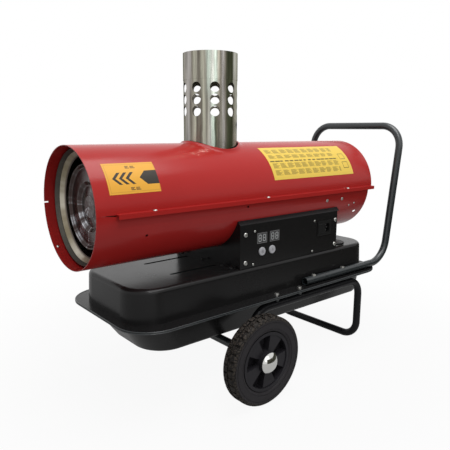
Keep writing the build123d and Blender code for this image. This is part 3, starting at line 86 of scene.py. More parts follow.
# %% [markdown]
# ## The camera
# A photograph fixes seven numbers: where the camera stood, how it was turned, and its lens. They
# were fitted to edges of the heater whose real places are known. The camera is made first, because
# every later choice is judged through it.

# %% Camera
camera_place = Vector((-0.8565, -0.9436, 0.5912))
camera_yaw = radians(49.94)
camera_pitch = radians(-10.77)
camera_roll = radians(0.29)
camera_lens = 39.99
level = cos(camera_pitch)
ahead = Vector((cos(camera_yaw) * level, sin(camera_yaw) * level, sin(camera_pitch)))
bpy.ops.object.camera_add(location=camera_place)
camera = bpy.context.object
camera.name = "photo_camera"
camera.rotation_mode = "QUATERNION"
camera.rotation_quaternion = Quaternion(-ahead, camera_roll) @ ahead.to_track_quat("-Z", "Y")
camera.data.lens = camera_lens
camera.data.sensor_width = 36
bpy.context.scene.camera = camera
bpy.context.scene.view_settings.view_transform = "Standard"
print("camera", camera_lens, "mm")

# %% [markdown]
# ## Wiring shaders by hand
# A material is a small machine of nodes. A few helpers keep its wiring short: `plug` sets or links
# a socket, `new_node` adds a node with its inputs plugged by name, and `step` adds a Math node.
# Anything used by more than one finish goes into a node group, which is built once and then placed
# in each material with its own values. Every group reads a vector.

# %% Wiring helpers


def plug(tree, socket, value):
    """Links a socket to another socket, or sets it to a constant; a colour gets its alpha here."""
    if isinstance(value, bpy.types.NodeSocket):
        tree.links.new(value, socket)
    else:
        socket.default_value = (*value, 1) if socket.type == "RGBA" else value


def plug_all(tree, node, values):
    """Plugs a node's inputs; a value's name is the socket's, with _ for a space."""
    for label, value in values.items():
        plug(tree, node.inputs[label.replace("_", " ")], value)
    return node


def new_node(tree, kind, **values):
    """New shader node with its inputs plugged by name."""
    return plug_all(tree, tree.nodes.new("ShaderNode" + kind), values)


def step(tree, operation, *values):
    """Math node with its inputs plugged in order."""
    node = new_node(tree, "Math")
    node.operation = operation
    for socket, value in zip(node.inputs, values):
        plug(tree, socket, value)
    return node.outputs[0]


def noise(tree, vector, scale, detail=2.0, roughness=0.5):
    """Noise texture read at a vector."""
    node = new_node(tree, "TexNoise", Vector=vector, Scale=scale, Detail=detail, Roughness=roughness)
    return node.outputs["Fac"]


def blend_colours(tree, factor, low, high):
    """Mix node between two colours."""
    node = new_node(tree, "Mix")
    node.data_type = "RGBA"
    plug(tree, node.inputs["Factor"], factor)
    plug(tree, node.inputs[6], low)
    plug(tree, node.inputs[7], high)
    return node.outputs[2]


def shaded(tree, colour, amount):
    """A colour multiplied by an amount."""
    node = new_node(tree, "VectorMath", Vector=colour)
    node.operation = "SCALE"
    plug(tree, node.inputs["Scale"], amount)
    return node.outputs[0]


def smooth_step(tree, value, low, high):
    """0 below a limit, 1 above another, and a smooth rise between them."""
    node = new_node(tree, "MapRange", Value=value, From_Min=low, From_Max=high)
    node.interpolation_type = "SMOOTHSTEP"
    return node.outputs["Result"]


def spread(tree, value, low, high):
    """Maps a value from 0..1 to low..high."""
    return new_node(tree, "MapRange", Value=value, To_Min=low, To_Max=high).outputs["Result"]


def window(tree, value, low, high):
    """1 where a value lies between two limits, and 0 elsewhere."""
    above = step(tree, "GREATER_THAN", value, low)
    return step(tree, "MULTIPLY", above, step(tree, "LESS_THAN", value, high))


def stretched(tree, vector, scale):
    """A vector scaled unevenly, so that a pattern read there is drawn out."""
    return new_node(tree, "Mapping", Vector=vector, Scale=scale).outputs["Vector"]


def parts_of(tree, vector):
    """The three parts of a vector."""
    return new_node(tree, "SeparateXYZ", Vector=vector).outputs


def combined(tree, **parts):
    """Vector from the parts named X, Y and Z; a part that isn't given is 0."""
    return new_node(tree, "CombineXYZ", **parts).outputs[0]


def group(name, inputs, outputs):
    """Empty group that reads a vector and the named floats; returned with its two end nodes."""
    tree = bpy.data.node_groups.new(name, "ShaderNodeTree")
    tree.interface.new_socket(name="Vector", in_out="INPUT", socket_type="NodeSocketVector")
    for label in inputs:
        tree.interface.new_socket(name=label, in_out="INPUT", socket_type="NodeSocketFloat")
    for label, kind in outputs.items():
        tree.interface.new_socket(name=label, in_out="OUTPUT", socket_type="NodeSocket" + kind)
    return tree, tree.nodes.new("NodeGroupInput").outputs, tree.nodes.new("NodeGroupOutput").inputs


def place_group(tree, made, **values):
    """Places a node group in a material and returns its outputs."""
    node = new_node(tree, "Group")
    node.node_tree = made
    return plug_all(tree, node, values).outputs


# %% [markdown]
# ## Effects that several finishes share
# New enamel is never quite even: it has a fine skin like orange peel, and thin sheet under it
# swells and dips a little, which bends long reflections. Handling leaves faint dull patches.
# `skin` makes all three. `grain` draws the lines that rolling or turning leaves in bare metal.
# `turned` gives the angle round an axis, the distance from it and the place along it.

# %% Shared node groups
peel_scale, wave_scale, patch_scale = 420.0, 7.0, 14.0
grain_scale, cloud_scale = 60.0, 9.0
patch_start = 0.42

skin, given, result = group("painted skin", ["Peel", "Wave"], {"Height": "Float", "Handling": "Float"})
peel = step(skin, "MULTIPLY", noise(skin, given["Vector"], peel_scale, 3.0), given["Peel"])
wave = step(skin, "MULTIPLY", noise(skin, given["Vector"], wave_scale, 1.0), given["Wave"])
plug(skin, result["Height"], step(skin, "ADD", peel, wave))
patches = step(skin, "SUBTRACT", noise(skin, given["Vector"], patch_scale, 5.0, 0.62), patch_start)
plug(skin, result["Handling"], step(skin, "SMOOTH_MAX", patches, 0.0, 0.1))

grain, given, result = group("metal grain", [], {"Height": "Float", "Cloud": "Float"})
plug(grain, result["Height"], noise(grain, given["Vector"], grain_scale, 4.0))
plug(grain, result["Cloud"], noise(grain, given["Vector"], cloud_scale, 4.0, 0.6))

turned, given, result = group(
    "turned coordinates", [], {"Angle": "Float", "Radius": "Float", "Along": "Float", "Rolled": "Vector"})
x, y, z = parts_of(turned, given["Vector"])
angle = step(turned, "ARCTAN2", y, x)
square = step(turned, "ADD", step(turned, "MULTIPLY", x, x), step(turned, "MULTIPLY", y, y))
plug(turned, result["Angle"], angle)
plug(turned, result["Radius"], step(turned, "SQRT", square))
plug(turned, result["Along"], z)
on_circle = {"X": step(turned, "COSINE", angle), "Y": step(turned, "SINE", angle)}
plug(turned, result["Rolled"], combined(turned, Z=z, **on_circle))
print("groups", [made.name for made in bpy.data.node_groups])

# %% [markdown]
# ## Finishes
# Each finish is one function that returns a material. `wire` sets the shader's constants on its own
# sockets and links what changes over the surface: colour, roughness and bump.
# `about` puts a pattern on a piece: it moves the piece's axis to the origin, turns it to Z and
# reads `turned` there.

# %% Material helpers
along_x = (0, pi / 2, 0)
along_y = (pi / 2, 0, 0)
enamel_depth, handled_gain = 0.0006, 0.14


def wire(made, **values):
    """Plugs the inputs of a material's shader by name, and returns the material."""
    plug_all(made.node_tree, made.node_tree.nodes["Principled BSDF"], values)
    return made


def start_finish(name, metallic=0.0, roughness=0.5, specular=0.5):
    """New material: returns it with its tree and its Object coordinates."""
    made = bpy.data.materials.new(name)
    made.use_nodes = True
    wire(made, Metallic=metallic, Roughness=roughness, Specular_IOR_Level=specular)
    return made, made.node_tree, new_node(made.node_tree, "TexCoord").outputs["Object"]


def bump(tree, height, depth):
    """Normal that a height bends."""
    return new_node(tree, "Bump", Height=height, Distance=depth, Strength=1.0).outputs["Normal"]


def about(tree, here, centre, turn=(0, 0, 0)):
    """Turned coordinates round a piece's own axis."""
    shift = new_node(tree, "VectorMath", Vector=here)
    shift.operation = "SUBTRACT"
    plug(tree, shift.inputs[1], centre)
    upright = new_node(tree, "Mapping", Vector=shift.outputs[0], Rotation=turn).outputs["Vector"]
    return place_group(tree, turned, Vector=upright)


def enamel(name, dark, light, roughness, specular, peel, wave):
    """Sprayed paint on sheet metal."""
    made, tree, here = start_finish(name, roughness=roughness, specular=specular)
    paint = place_group(tree, skin, Vector=here, Peel=peel, Wave=wave)
    return wire(made, Base_Color=blend_colours(tree, paint["Handling"], light, dark),
                Roughness=spread(tree, paint["Handling"], roughness, roughness + handled_gain),
                Normal=bump(tree, paint["Height"], enamel_depth))


def bare_metal(name, dark, light, roughness, draw, depth=0.0002):
    """Bare metal with a grain that a stretch draws out."""
    made, tree, here = start_finish(name, metallic=1.0, roughness=roughness)
    rolled = place_group(tree, grain, Vector=stretched(tree, here, draw))
    return wire(made, Base_Color=blend_colours(tree, rolled["Cloud"], dark, light),
                Roughness=spread(tree, rolled["Height"], roughness - 0.06, roughness + 0.1),
                Normal=bump(tree, rolled["Height"], depth))


def moulded(name, dark, light, roughness, specular=0.3, speckle=900.0, depth=0.00012):
    """Moulded plastic, glaze, varnish or casting: even colour with a fine texture."""
    made, tree, here = start_finish(name, roughness=roughness, specular=specular)
    cloud = noise(tree, here, 30.0, 4.0, 0.6)
    return wire(made, Base_Color=blend_colours(tree, cloud, dark, light),
                Roughness=spread(tree, cloud, roughness - 0.05, roughness + 0.08),
                Normal=bump(tree, noise(tree, here, speckle), depth))


print("helpers ready")

# %% [markdown]
# ## Red and black paint
# The barrel is bright red enamel, smooth enough that its top mirrors the white room at a low angle
# while its flank keeps a deep colour. That is what a low specular level does: little reflection
# face on, and a full one at a glance. The tank and base are black, with softer reflections. The
# tubes are powder coated: with a visible grain and a cooler grey-black. The leg frame takes a
# darker, duller copy of that coat, which is painted shade on the low legs. After its two tones,
# each paint has its roughness, its specular level, how much peel it shows and how much wave.

# %% Paints
finishes = {
    "red_paint": enamel("red enamel", (0.285, 0.0125, 0.0115), (0.335, 0.016, 0.0145),
                        0.22, 0.2, 0.08, 0.8),
    "black_paint": enamel("black enamel", (0.0055, 0.0050, 0.0053), (0.0085, 0.0082, 0.0084),
                          0.24, 0.2, 0.04, 0.6),
    "black_tube": enamel("powder coat", (0.009, 0.012, 0.013), (0.015, 0.019, 0.021), 0.30, 0.6, 0.25, 0.0),
}
# Darker, duller copy of the powder coat for the legs: painted shade.
shaded_leg_paint = enamel("shaded leg paint", (0.006, 0.006, 0.0075), (0.010, 0.010, 0.0115), 0.30, 0.12, 0.2, 0.0)
print("paints", sorted(finishes))

# %% [markdown]
# ## The flue
# The flue is a rolled stainless tube. It mirrors its surroundings in upright bands, which a plain
# white studio can't give, so these reflections are painted: a colour ramp over the angle round the
# tube paints them as a few tones of steel at chosen angles. Rolling leaves fine streaks of its own,
# drawn out along the tube. Noise drawn out along the tube makes the edges of the painted reflections
# wander, and a second, browner ramp of painted reflections takes over below.

# %% Flue steel
flue_low, flue_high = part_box("chimney")
flue_centre = ((flue_low.x + flue_high.x) / 2, (flue_low.y + flue_high.y) / 2, 0)
band_start = radians(51.7)
wander_reach, ragged_reach = 0.09, 0.04
ramp_change_low, ramp_change_high = 0.635, 0.735
streak_dark, streak_bright = 0.66, 1.3
edge_tint = (0.42, 0.42, 0.36)
olive = (0.050, 0.054, 0.032)
umber = (0.150, 0.134, 0.108)
taupe = (0.265, 0.248, 0.205)
rose = (0.35, 0.33, 0.312)
cream = (0.40, 0.392, 0.315)
silver = (0.47, 0.465, 0.42)
mint = (0.52, 0.595, 0.515)
# Tones of the painted reflections round the flue: the upper ramp, then the browner lower one.
upper_painted_reflections = [(0.00, taupe), (0.07, umber), (0.13, silver), (0.19, taupe), (0.25, olive), (0.292, olive),
               (0.305, rose), (0.375, rose), (0.388, umber), (0.405, cream), (0.42, taupe), (0.435, umber),
               (0.45, cream), (0.47, taupe), (0.49, mint), (0.51, silver), (0.53, mint), (0.545, taupe),
               (0.56, umber), (0.575, rose), (0.587, umber), (0.60, olive), (0.645, olive), (0.662, silver),
               (0.71, silver), (0.74, olive), (0.80, silver), (0.84, umber), (0.90, taupe), (1.00, taupe)]
lower_painted_reflections = [(0.00, taupe), (0.08, umber), (0.15, taupe), (0.22, olive), (0.292, olive), (0.305, rose),
               (0.36, rose), (0.375, umber), (0.40, taupe), (0.41, cream), (0.42, umber), (0.45, umber),
               (0.462, cream), (0.48, taupe), (0.50, silver), (0.515, mint), (0.53, olive), (0.55, umber),
               (0.565, taupe), (0.58, rose), (0.592, umber), (0.605, olive), (0.648, olive), (0.664, taupe),
               (0.70, silver), (0.74, olive), (0.80, umber), (0.90, taupe), (1.00, taupe)]


def banded(tree, place, bands):
    """Colour ramp through a list of (place, tone) bands."""
    ramp = new_node(tree, "ValToRGB", Fac=place)
    stops = ramp.color_ramp.elements
    for stop, (where, tone) in zip(stops, (bands[0], bands[-1])):
        stop.position, stop.color = where, (*tone, 1)
    for where, tone in bands[1:-1]:
        stops.new(where).color = (*tone, 1)
    return ramp.outputs["Color"]


def flue_steel():
    """Polished stainless sheet with painted reflections in upright bands round the flue."""
    made, tree, here = start_finish("polished stainless", metallic=1.0, roughness=0.2)
    flue = about(tree, here, flue_centre)
    wander = spread(tree, noise(tree, stretched(tree, here, (1.0, 1.0, 0.1)), 110.0, 5.0, 0.75),
                    -wander_reach - band_start, wander_reach - band_start)
    place = step(tree, "FRACT", step(tree, "DIVIDE", step(tree, "ADD", flue["Angle"], wander), tau))
    ragged = spread(tree, noise(tree, stretched(tree, here, (1.0, 1.0, 0.3)), 30.0, 3.0),
                    -ragged_reach, ragged_reach)
    upper_ramp_share = smooth_step(tree, step(tree, "ADD", flue["Along"], ragged), ramp_change_low, ramp_change_high)
    # Painted reflections: the browner ramp low on the flue, the other one above it.
    bands = blend_colours(tree, upper_ramp_share, banded(tree, place, lower_painted_reflections), banded(tree, place, upper_painted_reflections))
    streaks = noise(tree, stretched(tree, here, (1.0, 1.0, 0.03)), 190.0, 4.0, 0.75)
    dull = spread(tree, smooth_step(tree, streaks, 0.34, 0.64), streak_dark, streak_bright)
    lines = noise(tree, stretched(tree, flue["Rolled"], (60.0, 60.0, 3.0)), 6.0, 4.0)
    return wire(made, Base_Color=shaded(tree, bands, dull), Specular_Tint=edge_tint,
                Roughness=spread(tree, lines, 0.1, 0.22), Normal=bump(tree, lines, 0.00012))


finishes["stainless"] = flue_steel()
print("flue axis at", [round(value, 4) for value in flue_centre[:2]])

# %% [markdown]
# ## Other bare metals
# The heat shield inside the outlet is dark steel, and so is the exchanger: its very dark tone is
# painted dark reflection, and pale fans on its cap are painted highlights. The cone between them
# is galvanised, with painted shade towards the middle of the outlet. The exchanger's cap was spun
# on a lathe, so its grain runs in rings round the barrel's axis. Turned parts such as shafts and
# screws are zinc plated, and the hub caps are chromed. A row of the table holds a dark and a light
# tone, the roughness, the stretch of the grain and its depth.

# %% Metals
barrel_axis = (0, 0, axis_height)
# Radii between which the painted shade on the outlet cone fades out.
cone_shade_radius, cone_unshaded_radius = 0.1045, 0.1075
# Angle round the barrel's axis where the painted highlights on the exchanger are strongest.
highlight_angle = radians(140)
fine_depth = 0.00005
metals = {
    "galvanised": ("galvanised sheet", (0.22, 0.20, 0.155), (0.42, 0.39, 0.32), 0.34, (2, 8, 8)),
    "dark_steel": ("dark sheet steel", (0.045, 0.043, 0.036), (0.085, 0.080, 0.070), 0.42, (2, 8, 8)),
    "zinc_screws": ("zinc plate", (0.42, 0.42, 0.40), (0.66, 0.66, 0.63), 0.3, (30, 30, 30), fine_depth),
    "chrome_caps": ("chrome", (0.58, 0.58, 0.56), (0.66, 0.66, 0.64), 0.08, (4, 4, 4), 0.00001),
    "brass": ("turned brass", (0.60, 0.40, 0.14), (0.80, 0.58, 0.26), 0.3, (1, 30, 30), fine_depth),
    "fan_alloy": ("stamped alloy", (0.40, 0.40, 0.40), (0.60, 0.60, 0.60), 0.36, (4, 20, 20)),
    "copper_pipe": ("drawn copper", (0.55, 0.24, 0.13), (0.78, 0.40, 0.24), 0.3, (10, 10, 1), fine_depth),
}
finishes.update({slot: bare_metal(*values) for slot, values in metals.items()})


def spun_steel():
    """Steel with the fine rings of a lathe; its very dark tone is painted dark reflection, and its pale fans
    are painted highlights.
    """
    made, tree, here = start_finish("spun dark steel", metallic=1.0, roughness=0.14)
    cap = about(tree, here, barrel_axis, along_x)
    rings = noise(tree, combined(tree, X=cap["Radius"]), 260.0, 3.0, 0.7)
    fans = noise(tree, stretched(tree, cap["Rolled"], (1.0, 1.0, 0.0)), 3.1, 4.0, 0.65)
    # Painted highlight: pale fans on the rings, strongest in one quarter round the axis; the very dark base
    # below is painted dark reflection.
    toward = step(tree, "COSINE", step(tree, "SUBTRACT", cap["Angle"], highlight_angle))
    highlight_quarter = spread(tree, smooth_step(tree, toward, 0.35, 0.98), 0.25, 1.0)
    fan_highlight = step(tree, "MULTIPLY", smooth_step(tree, fans, 0.47, 0.62), smooth_step(tree, rings, 0.42, 0.60))
    painted_dark_reflection = blend_colours(tree, rings, (0.008, 0.006, 0.006), (0.085, 0.062, 0.058))
    pale = step(tree, "MULTIPLY", fan_highlight, highlight_quarter)
    return wire(made, Base_Color=blend_colours(tree, pale, painted_dark_reflection, (0.62, 0.64, 0.68)),
                Roughness=spread(tree, fans, 0.08, 0.28), Normal=bump(tree, rings, 0.0005))


def cone_sheet():
    """Galvanised sheet with painted shade towards the middle of the outlet."""
    made, tree, here = start_finish("outlet cone sheet", metallic=1.0, roughness=0.32)
    cone = about(tree, here, barrel_axis, along_x)
    lines = place_group(tree, grain, Vector=stretched(tree, cone["Rolled"], (8.0, 8.0, 2.0)))["Height"]
    cloud = noise(tree, stretched(tree, cone["Rolled"], (1.0, 1.0, 0.0)), 1.7, 3.0)
    galvanised_tones = blend_colours(tree, smooth_step(tree, cloud, 0.35, 0.65), (0.20, 0.17, 0.115), (0.46, 0.43, 0.36))
    # Painted shade: inside a radius the sheet turns dark brown, towards the middle of the outlet.
    outer = smooth_step(tree, cone["Radius"], cone_shade_radius, cone_unshaded_radius)
    return wire(made, Base_Color=blend_colours(tree, outer, (0.085, 0.070, 0.062), galvanised_tones),
                Roughness=spread(tree, lines, 0.24, 0.4), Normal=bump(tree, lines, 0.0002))


exchanger_steel = spun_steel()
cone_steel = cone_sheet()
print("metals", len(finishes))

# %% [markdown]
# ## Plastics, rubber and glaze
# These are even in colour, with a texture that comes from the mould. Rubber is matt and slightly
# brown, the rims are dark and smooth, the porcelain is glazed, and the board has a clear varnish.
# A row of the table holds two tones and the roughness, then the specular level, and for the
# castings a coarser and deeper speckle.

# %% Moulded finishes
tyre_low, tyre_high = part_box("left_tyre")
wheel_radius = (tyre_high.z - tyre_low.z) / 2
wheel_centre = ((tyre_low.x + tyre_high.x) / 2, 0, wheel_radius)
tread_start = wheel_radius - 0.0075
tread_blend = 0.002


def tyre_rubber():
    """Rubber: even on the wall, brown and knobbly on the tread, where dust keeps to the blocks; the gaps
    between the blocks are painted shade.
    """
    made, tree, here = start_finish("tyre rubber", roughness=0.6, specular=0.16)
    tyre = about(tree, here, wheel_centre, along_y)
    tread = smooth_step(tree, tyre["Radius"], tread_start - tread_blend, tread_start + tread_blend)
    cells = new_node(tree, "TexVoronoi", Vector=here, Scale=130.0)
    cells.feature = "DISTANCE_TO_EDGE"
    knobs = smooth_step(tree, cells.outputs["Distance"], 0.03, 0.2)
    cloud = noise(tree, here, 30.0, 4.0, 0.6)
    wall = blend_colours(tree, cloud, (0.0190, 0.0175, 0.0195), (0.0285, 0.0262, 0.0285))
    # Tread: brown dusty blocks, with painted shade darkening the gaps between them.
    blocks = blend_colours(tree, knobs, (0.008, 0.007, 0.0065), (0.034, 0.028, 0.023))
    fine_grain = step(tree, "MULTIPLY", noise(tree, here, 500.0), 0.25)
    height = step(tree, "ADD", step(tree, "MULTIPLY", knobs, tread), fine_grain)
    return wire(made, Base_Color=blend_colours(tree, tread, wall, blocks), Normal=bump(tree, height, 0.0009))


mouldings = {
    "grey_plastic": ("rim plastic", (0.014, 0.0132, 0.0155), (0.021, 0.0195, 0.023), 0.34, 0.14),
    "black_plastic": ("black plastic", (0.005, 0.005, 0.005), (0.010, 0.010, 0.010), 0.38, 0.2),
    "display_glass": ("smoked window", (0.045, 0.045, 0.046), (0.060, 0.060, 0.062), 0.2),
    "white_button": ("button plastic", (0.34, 0.34, 0.36), (0.42, 0.42, 0.44), 0.35),
    "motor_grey": ("cast housing", (0.09, 0.09, 0.10), (0.15, 0.15, 0.16), 0.5, 0.3, 300.0, 0.0004),
    "board_green": ("board varnish", (0.008, 0.09, 0.03), (0.015, 0.16, 0.06), 0.25),
    "strainer_plastic": ("strainer plastic", (0.60, 0.58, 0.50), (0.74, 0.72, 0.64), 0.4),
    "porcelain": ("porcelain", (0.74, 0.71, 0.64), (0.84, 0.82, 0.76), 0.18, 0.5),
}
finishes.update({slot: moulded(*values) for slot, values in mouldings.items()})
finishes["tyre_rubber"] = tyre_rubber()
print("finishes", len(finishes))

# %% [markdown]
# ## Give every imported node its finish
# The record says which slot each node takes its material from, so one loop dresses the whole
# heater. A few nodes have a finish of their own: the exchanger's cap and shell, the outlet's cone,
# and the leg frame.
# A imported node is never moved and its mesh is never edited: only its material slot changes.

# %% Dress the nodes
slot_of = {part["node"]: part["material_slot"] for part in frame["record"]["subparts"]}
own_finish = {"exchanger_front_cap": exchanger_steel, "exchanger_shell": exchanger_steel,
              "outlet_cone": cone_steel, "leg_frame": shaded_leg_paint}
for name, node in nodes.items():
    for holder in node.material_slots:
        holder.material = own_finish.get(name, finishes[slot_of[name]])
print("dressed", len(nodes), "nodes")

# %% [markdown]
# ## Modelling helpers
# New pieces are modelled as by hand: add a primitive, select by place, and operate. `editing` does
# the middle part: what stands under it works on the selected vertices, in edit mode.
# `finish_piece` names a piece, bakes its place into its mesh, gives it a finish and lets it ride.

# %% Modelling helpers


def deselect():
    """Clears the selection, so that an operator acts on the new piece alone."""
    bpy.ops.object.select_all(action="DESELECT")


def apply_place():
    """Bakes the selected piece's place into its mesh."""
    bpy.ops.object.transform_apply(location=True, rotation=True, scale=True)


def upright_cylinder(vertices, radius, depth, base=0.0, ends="NGON"):
    """Cylinder that stands on the Z axis at a height."""
    deselect()
    bpy.ops.mesh.primitive_cylinder_add(vertices=vertices, radius=radius, depth=depth, end_fill_type=ends,
                                        location=(0, 0, base + depth / 2))
    return bpy.context.object


def rectangle(width, length, place=(0, 0, 0)):
    """Flat face round a point."""
    deselect()
    bpy.ops.mesh.primitive_plane_add(size=1, location=place)
    bpy.context.object.scale = (width, length, 1)
    apply_place()
    return bpy.context.object


@contextmanager
def editing(piece, test=lambda place: True):
    """Edit mode with the vertices selected whose place passes a test."""
    bpy.context.view_layer.objects.active = piece
    bpy.ops.object.mode_set(mode="EDIT")
    bpy.ops.mesh.select_mode(type="VERT")
    bpy.ops.mesh.select_all(action="DESELECT")
    bpy.ops.object.mode_set(mode="OBJECT")
    for vertex in piece.data.vertices:
        vertex.select = test(vertex.co)
    bpy.ops.object.mode_set(mode="EDIT")
    yield
    bpy.ops.object.mode_set(mode="OBJECT")


def apply_modifier(piece, kind, **values):
    """Adds a modifier with its values and applies it."""
    bpy.context.view_layer.objects.active = piece
    modifier = piece.modifiers.new(kind.lower(), kind)
    for label, value in values.items():
        setattr(modifier, label, value)
    bpy.ops.object.modifier_apply(modifier=modifier.name)


def join(pieces):
    """Joins pieces into the first of them."""
    deselect()
    for piece in pieces:
        piece.select_set(True)
    bpy.context.view_layer.objects.active = pieces[0]
    bpy.ops.object.join()
    return bpy.context.object


def copies_at(source, places):
    """One copy of a modelled piece at each matrix, joined; the source is removed."""
    made = []
    for place in places:
        copy = source.copy()
        copy.data = source.data.copy()
        copy.matrix_world = place
        bpy.context.collection.objects.link(copy)
        made.append(copy)
    bpy.data.objects.remove(source)
    return join(made)


def finish_piece(piece, name, material, body="root", smooth=30):
    """Names a piece, puts its place into its mesh, gives it a material and parents it to its body's empty."""
    deselect()
    piece.select_set(True)
    bpy.context.view_layer.objects.active = piece
    apply_place()
    if smooth:
        bpy.ops.object.shade_smooth_by_angle(angle=radians(smooth))
    piece.name = name
    piece.data.name = name
    piece.data.materials.clear()
    piece.data.materials.append(material)
    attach(piece, body)
    print(name, len(piece.data.polygons), "faces")


# %% [markdown]
# ## Ink for the printed sheets
# Two printed sheets are glued to the near flank: a small orange one by the outlet and a long yellow
# one behind the flue. Their print here is generic: an arrow and chevrons that point the way the air
# goes, blocks of ruled lines and two empty frames. It is drawn with Math nodes in the barrel's own
# coordinates, the distance behind the front edge and the distance round the skin from the near
# seam, so it stays sharp at any size. The group `sheet coordinates` gives these two numbers from a
# sheet's corner.

# %% Ink
sheet_coordinates, given, result = group(
    "sheet coordinates", ["Start", "Low"], {"Across": "Float", "Up": "Float"})
x, y, z = parts_of(sheet_coordinates, given["Vector"])
behind = step(sheet_coordinates, "SUBTRACT", x, front_edge)
plug(sheet_coordinates, result["Across"], step(sheet_coordinates, "SUBTRACT", behind, given["Start"]))
above = step(sheet_coordinates, "SUBTRACT", z, axis_height)
turn = step(sheet_coordinates, "ARCTAN2", above, step(sheet_coordinates, "MULTIPLY", y, -1.0))
round_skin = step(sheet_coordinates, "MULTIPLY", turn, casing_radius)
plug(sheet_coordinates, result["Up"], step(sheet_coordinates, "SUBTRACT", round_skin, given["Low"]))


def either(tree, *marks):
    """1 where any of the marks is."""
    whole = marks[0]
    for mark in marks[1:]:
        whole = step(tree, "MAXIMUM", whole, mark)
    return whole


def bar(tree, across, up, left, right, low, high):
    """Filled rectangle on a sheet."""
    return step(tree, "MULTIPLY", window(tree, across, left, right), window(tree, up, low, high))


def hollow(tree, across, up, left, right, low, high, line):
    """Rectangle's outline of a line's width."""
    inner = bar(tree, across, up, left + line, right - line, low + line, high - line)
    return step(tree, "SUBTRACT", bar(tree, across, up, left, right, low, high), inner)


def pointer(tree, across, up, tip, tail, middle, half_width):
    """Shape that points to the outlet: square at its tail, with a tip as long as it is half wide."""
    aside = step(tree, "ABSOLUTE", step(tree, "SUBTRACT", up, middle))
    slanted = step(tree, "GREATER_THAN", step(tree, "SUBTRACT", across, aside), tip)
    body = bar(tree, across, up, tip, tail, middle - half_width, middle + half_width)
    return step(tree, "MULTIPLY", slanted, body)


def chevron(tree, across, up, tip, thickness, middle, half_width):
    """Bent stripe that points to the outlet."""
    aside = step(tree, "ABSOLUTE", step(tree, "SUBTRACT", up, middle))
    stripe = window(tree, step(tree, "SUBTRACT", across, aside), tip, tip + thickness)
    return step(tree, "MULTIPLY", stripe, step(tree, "LESS_THAN", aside, half_width))


def ruled_block(tree, across, up, left, right, low, high, column, line):
    """Columns of short ruled lines, each line cut off at a length of its own."""
    columns = step(tree, "DIVIDE", step(tree, "SUBTRACT", across, left), column)
    rows = step(tree, "DIVIDE", step(tree, "SUBTRACT", up, low), line)
    cell = combined(tree, X=step(tree, "FLOOR", columns), Y=step(tree, "FLOOR", rows))
    chance = new_node(tree, "TexWhiteNoise")
    chance.noise_dimensions = "2D"
    plug(tree, chance.inputs["Vector"], cell)
    reach = spread(tree, chance.outputs["Value"], 0.5, 0.93)
    inked = step(tree, "MULTIPLY", step(tree, "LESS_THAN", step(tree, "FRACT", columns), reach),
                 step(tree, "LESS_THAN", step(tree, "FRACT", rows), 0.62))
    return step(tree, "MULTIPLY", inked, bar(tree, across, up, left, right, low, high))


def printed_paper(name, paper, ink, start, low, draw):
    """Paper with print; `draw` gets the tree and the place on the sheet and returns the inked part."""
    made, tree, here = start_finish(name, roughness=0.42, specular=0.2)
    place = place_group(tree, sheet_coordinates, Vector=here, Start=start, Low=casing_radius * radians(low))
    inked = draw(tree, place["Across"], place["Up"])
    return wire(made, Base_Color=blend_colours(tree, inked, paper, ink))


print("ink ready")

# %% [markdown]
# ## Sheets on the barrel
# A sheet that lies on a cylinder is a piece of a slightly wider tube. So each one starts as a tube
# round the barrel's axis, as long as the sheet is wide. The faces outside its two angles are
# deleted, and Solidify gives what is left its thickness.

# %% Sheets
sheet_thickness = 0.0002
sheet_lift = 0.0003
angle_slack = 0.25
small_start, small_width, small_low, small_high = 0.031, 0.1104, 17.0, 47.0
long_start, long_width, long_low, long_high = 0.458, 0.306, 18.0, 63.0
small_height = casing_radius * radians(small_high - small_low)
border, rear_border, border_line, border_ink = 0.0035, 0.0008, 0.0007, 0.35
arrow_tip, arrow_half_width, middle_share = 0.070, 0.0145, 0.47
chevron_tips, chevron_thickness, chevron_half_width = (0.012, 0.026, 0.040), 0.007, 0.0125
block_lows, block_height = (0.0065, small_height - 0.0135), 0.0063
block_left, block_right, block_column, block_line = 0.046, 0.068, 0.011, 0.0021
text_left, text_right, text_line, text_ink = 0.010, 0.258, 0.0017, 0.8
text_bands = [(0.011, 0.024, 0.0268), (0.029, 0.043, 0.0254), (0.057, 0.068, 0.0276), (0.074, 0.089, 0.0262)]
bars_left, bars_right, bars_low, bars_high = 0.006, 0.262, 0.0465, 0.0505
bars_column, bars_line = 0.017, 0.006
frame_left, frame_right, frame_height, frame_lows = 0.272, 0.294, 0.019, (0.018, 0.045)


def small_print(tree, across, up):
    """Border, one solid arrow from the rear edge, three chevrons and two ruled blocks."""
    outline = hollow(tree, across, up, border, small_width - rear_border, border, small_height - border,
                     border_line)
    middle = small_height * middle_share
    arrow = pointer(tree, across, up, arrow_tip, small_width, middle, arrow_half_width)
    chevrons = [chevron(tree, across, up, tip, chevron_thickness, middle, chevron_half_width)
                for tip in chevron_tips]
    blocks = [ruled_block(tree, across, up, block_left, block_right, low, low + block_height,
                          block_column, block_line) for low in block_lows]
    return either(tree, arrow, *chevrons, *blocks, step(tree, "MULTIPLY", outline, border_ink))


def long_print(tree, across, up):
    """Four bands of ruled blocks, one band of short bars and two empty frames."""
    blocks = [ruled_block(tree, across, up, text_left, text_right, low, high, column, text_line)
              for low, high, column in text_bands]
    bars = ruled_block(tree, across, up, bars_left, bars_right, bars_low, bars_high, bars_column, bars_line)
    frames = [hollow(tree, across, up, frame_left, frame_right, low, low + frame_height, text_line)
              for low in frame_lows]
    return either(tree, step(tree, "MULTIPLY", either(tree, *blocks), text_ink), bars, *frames)


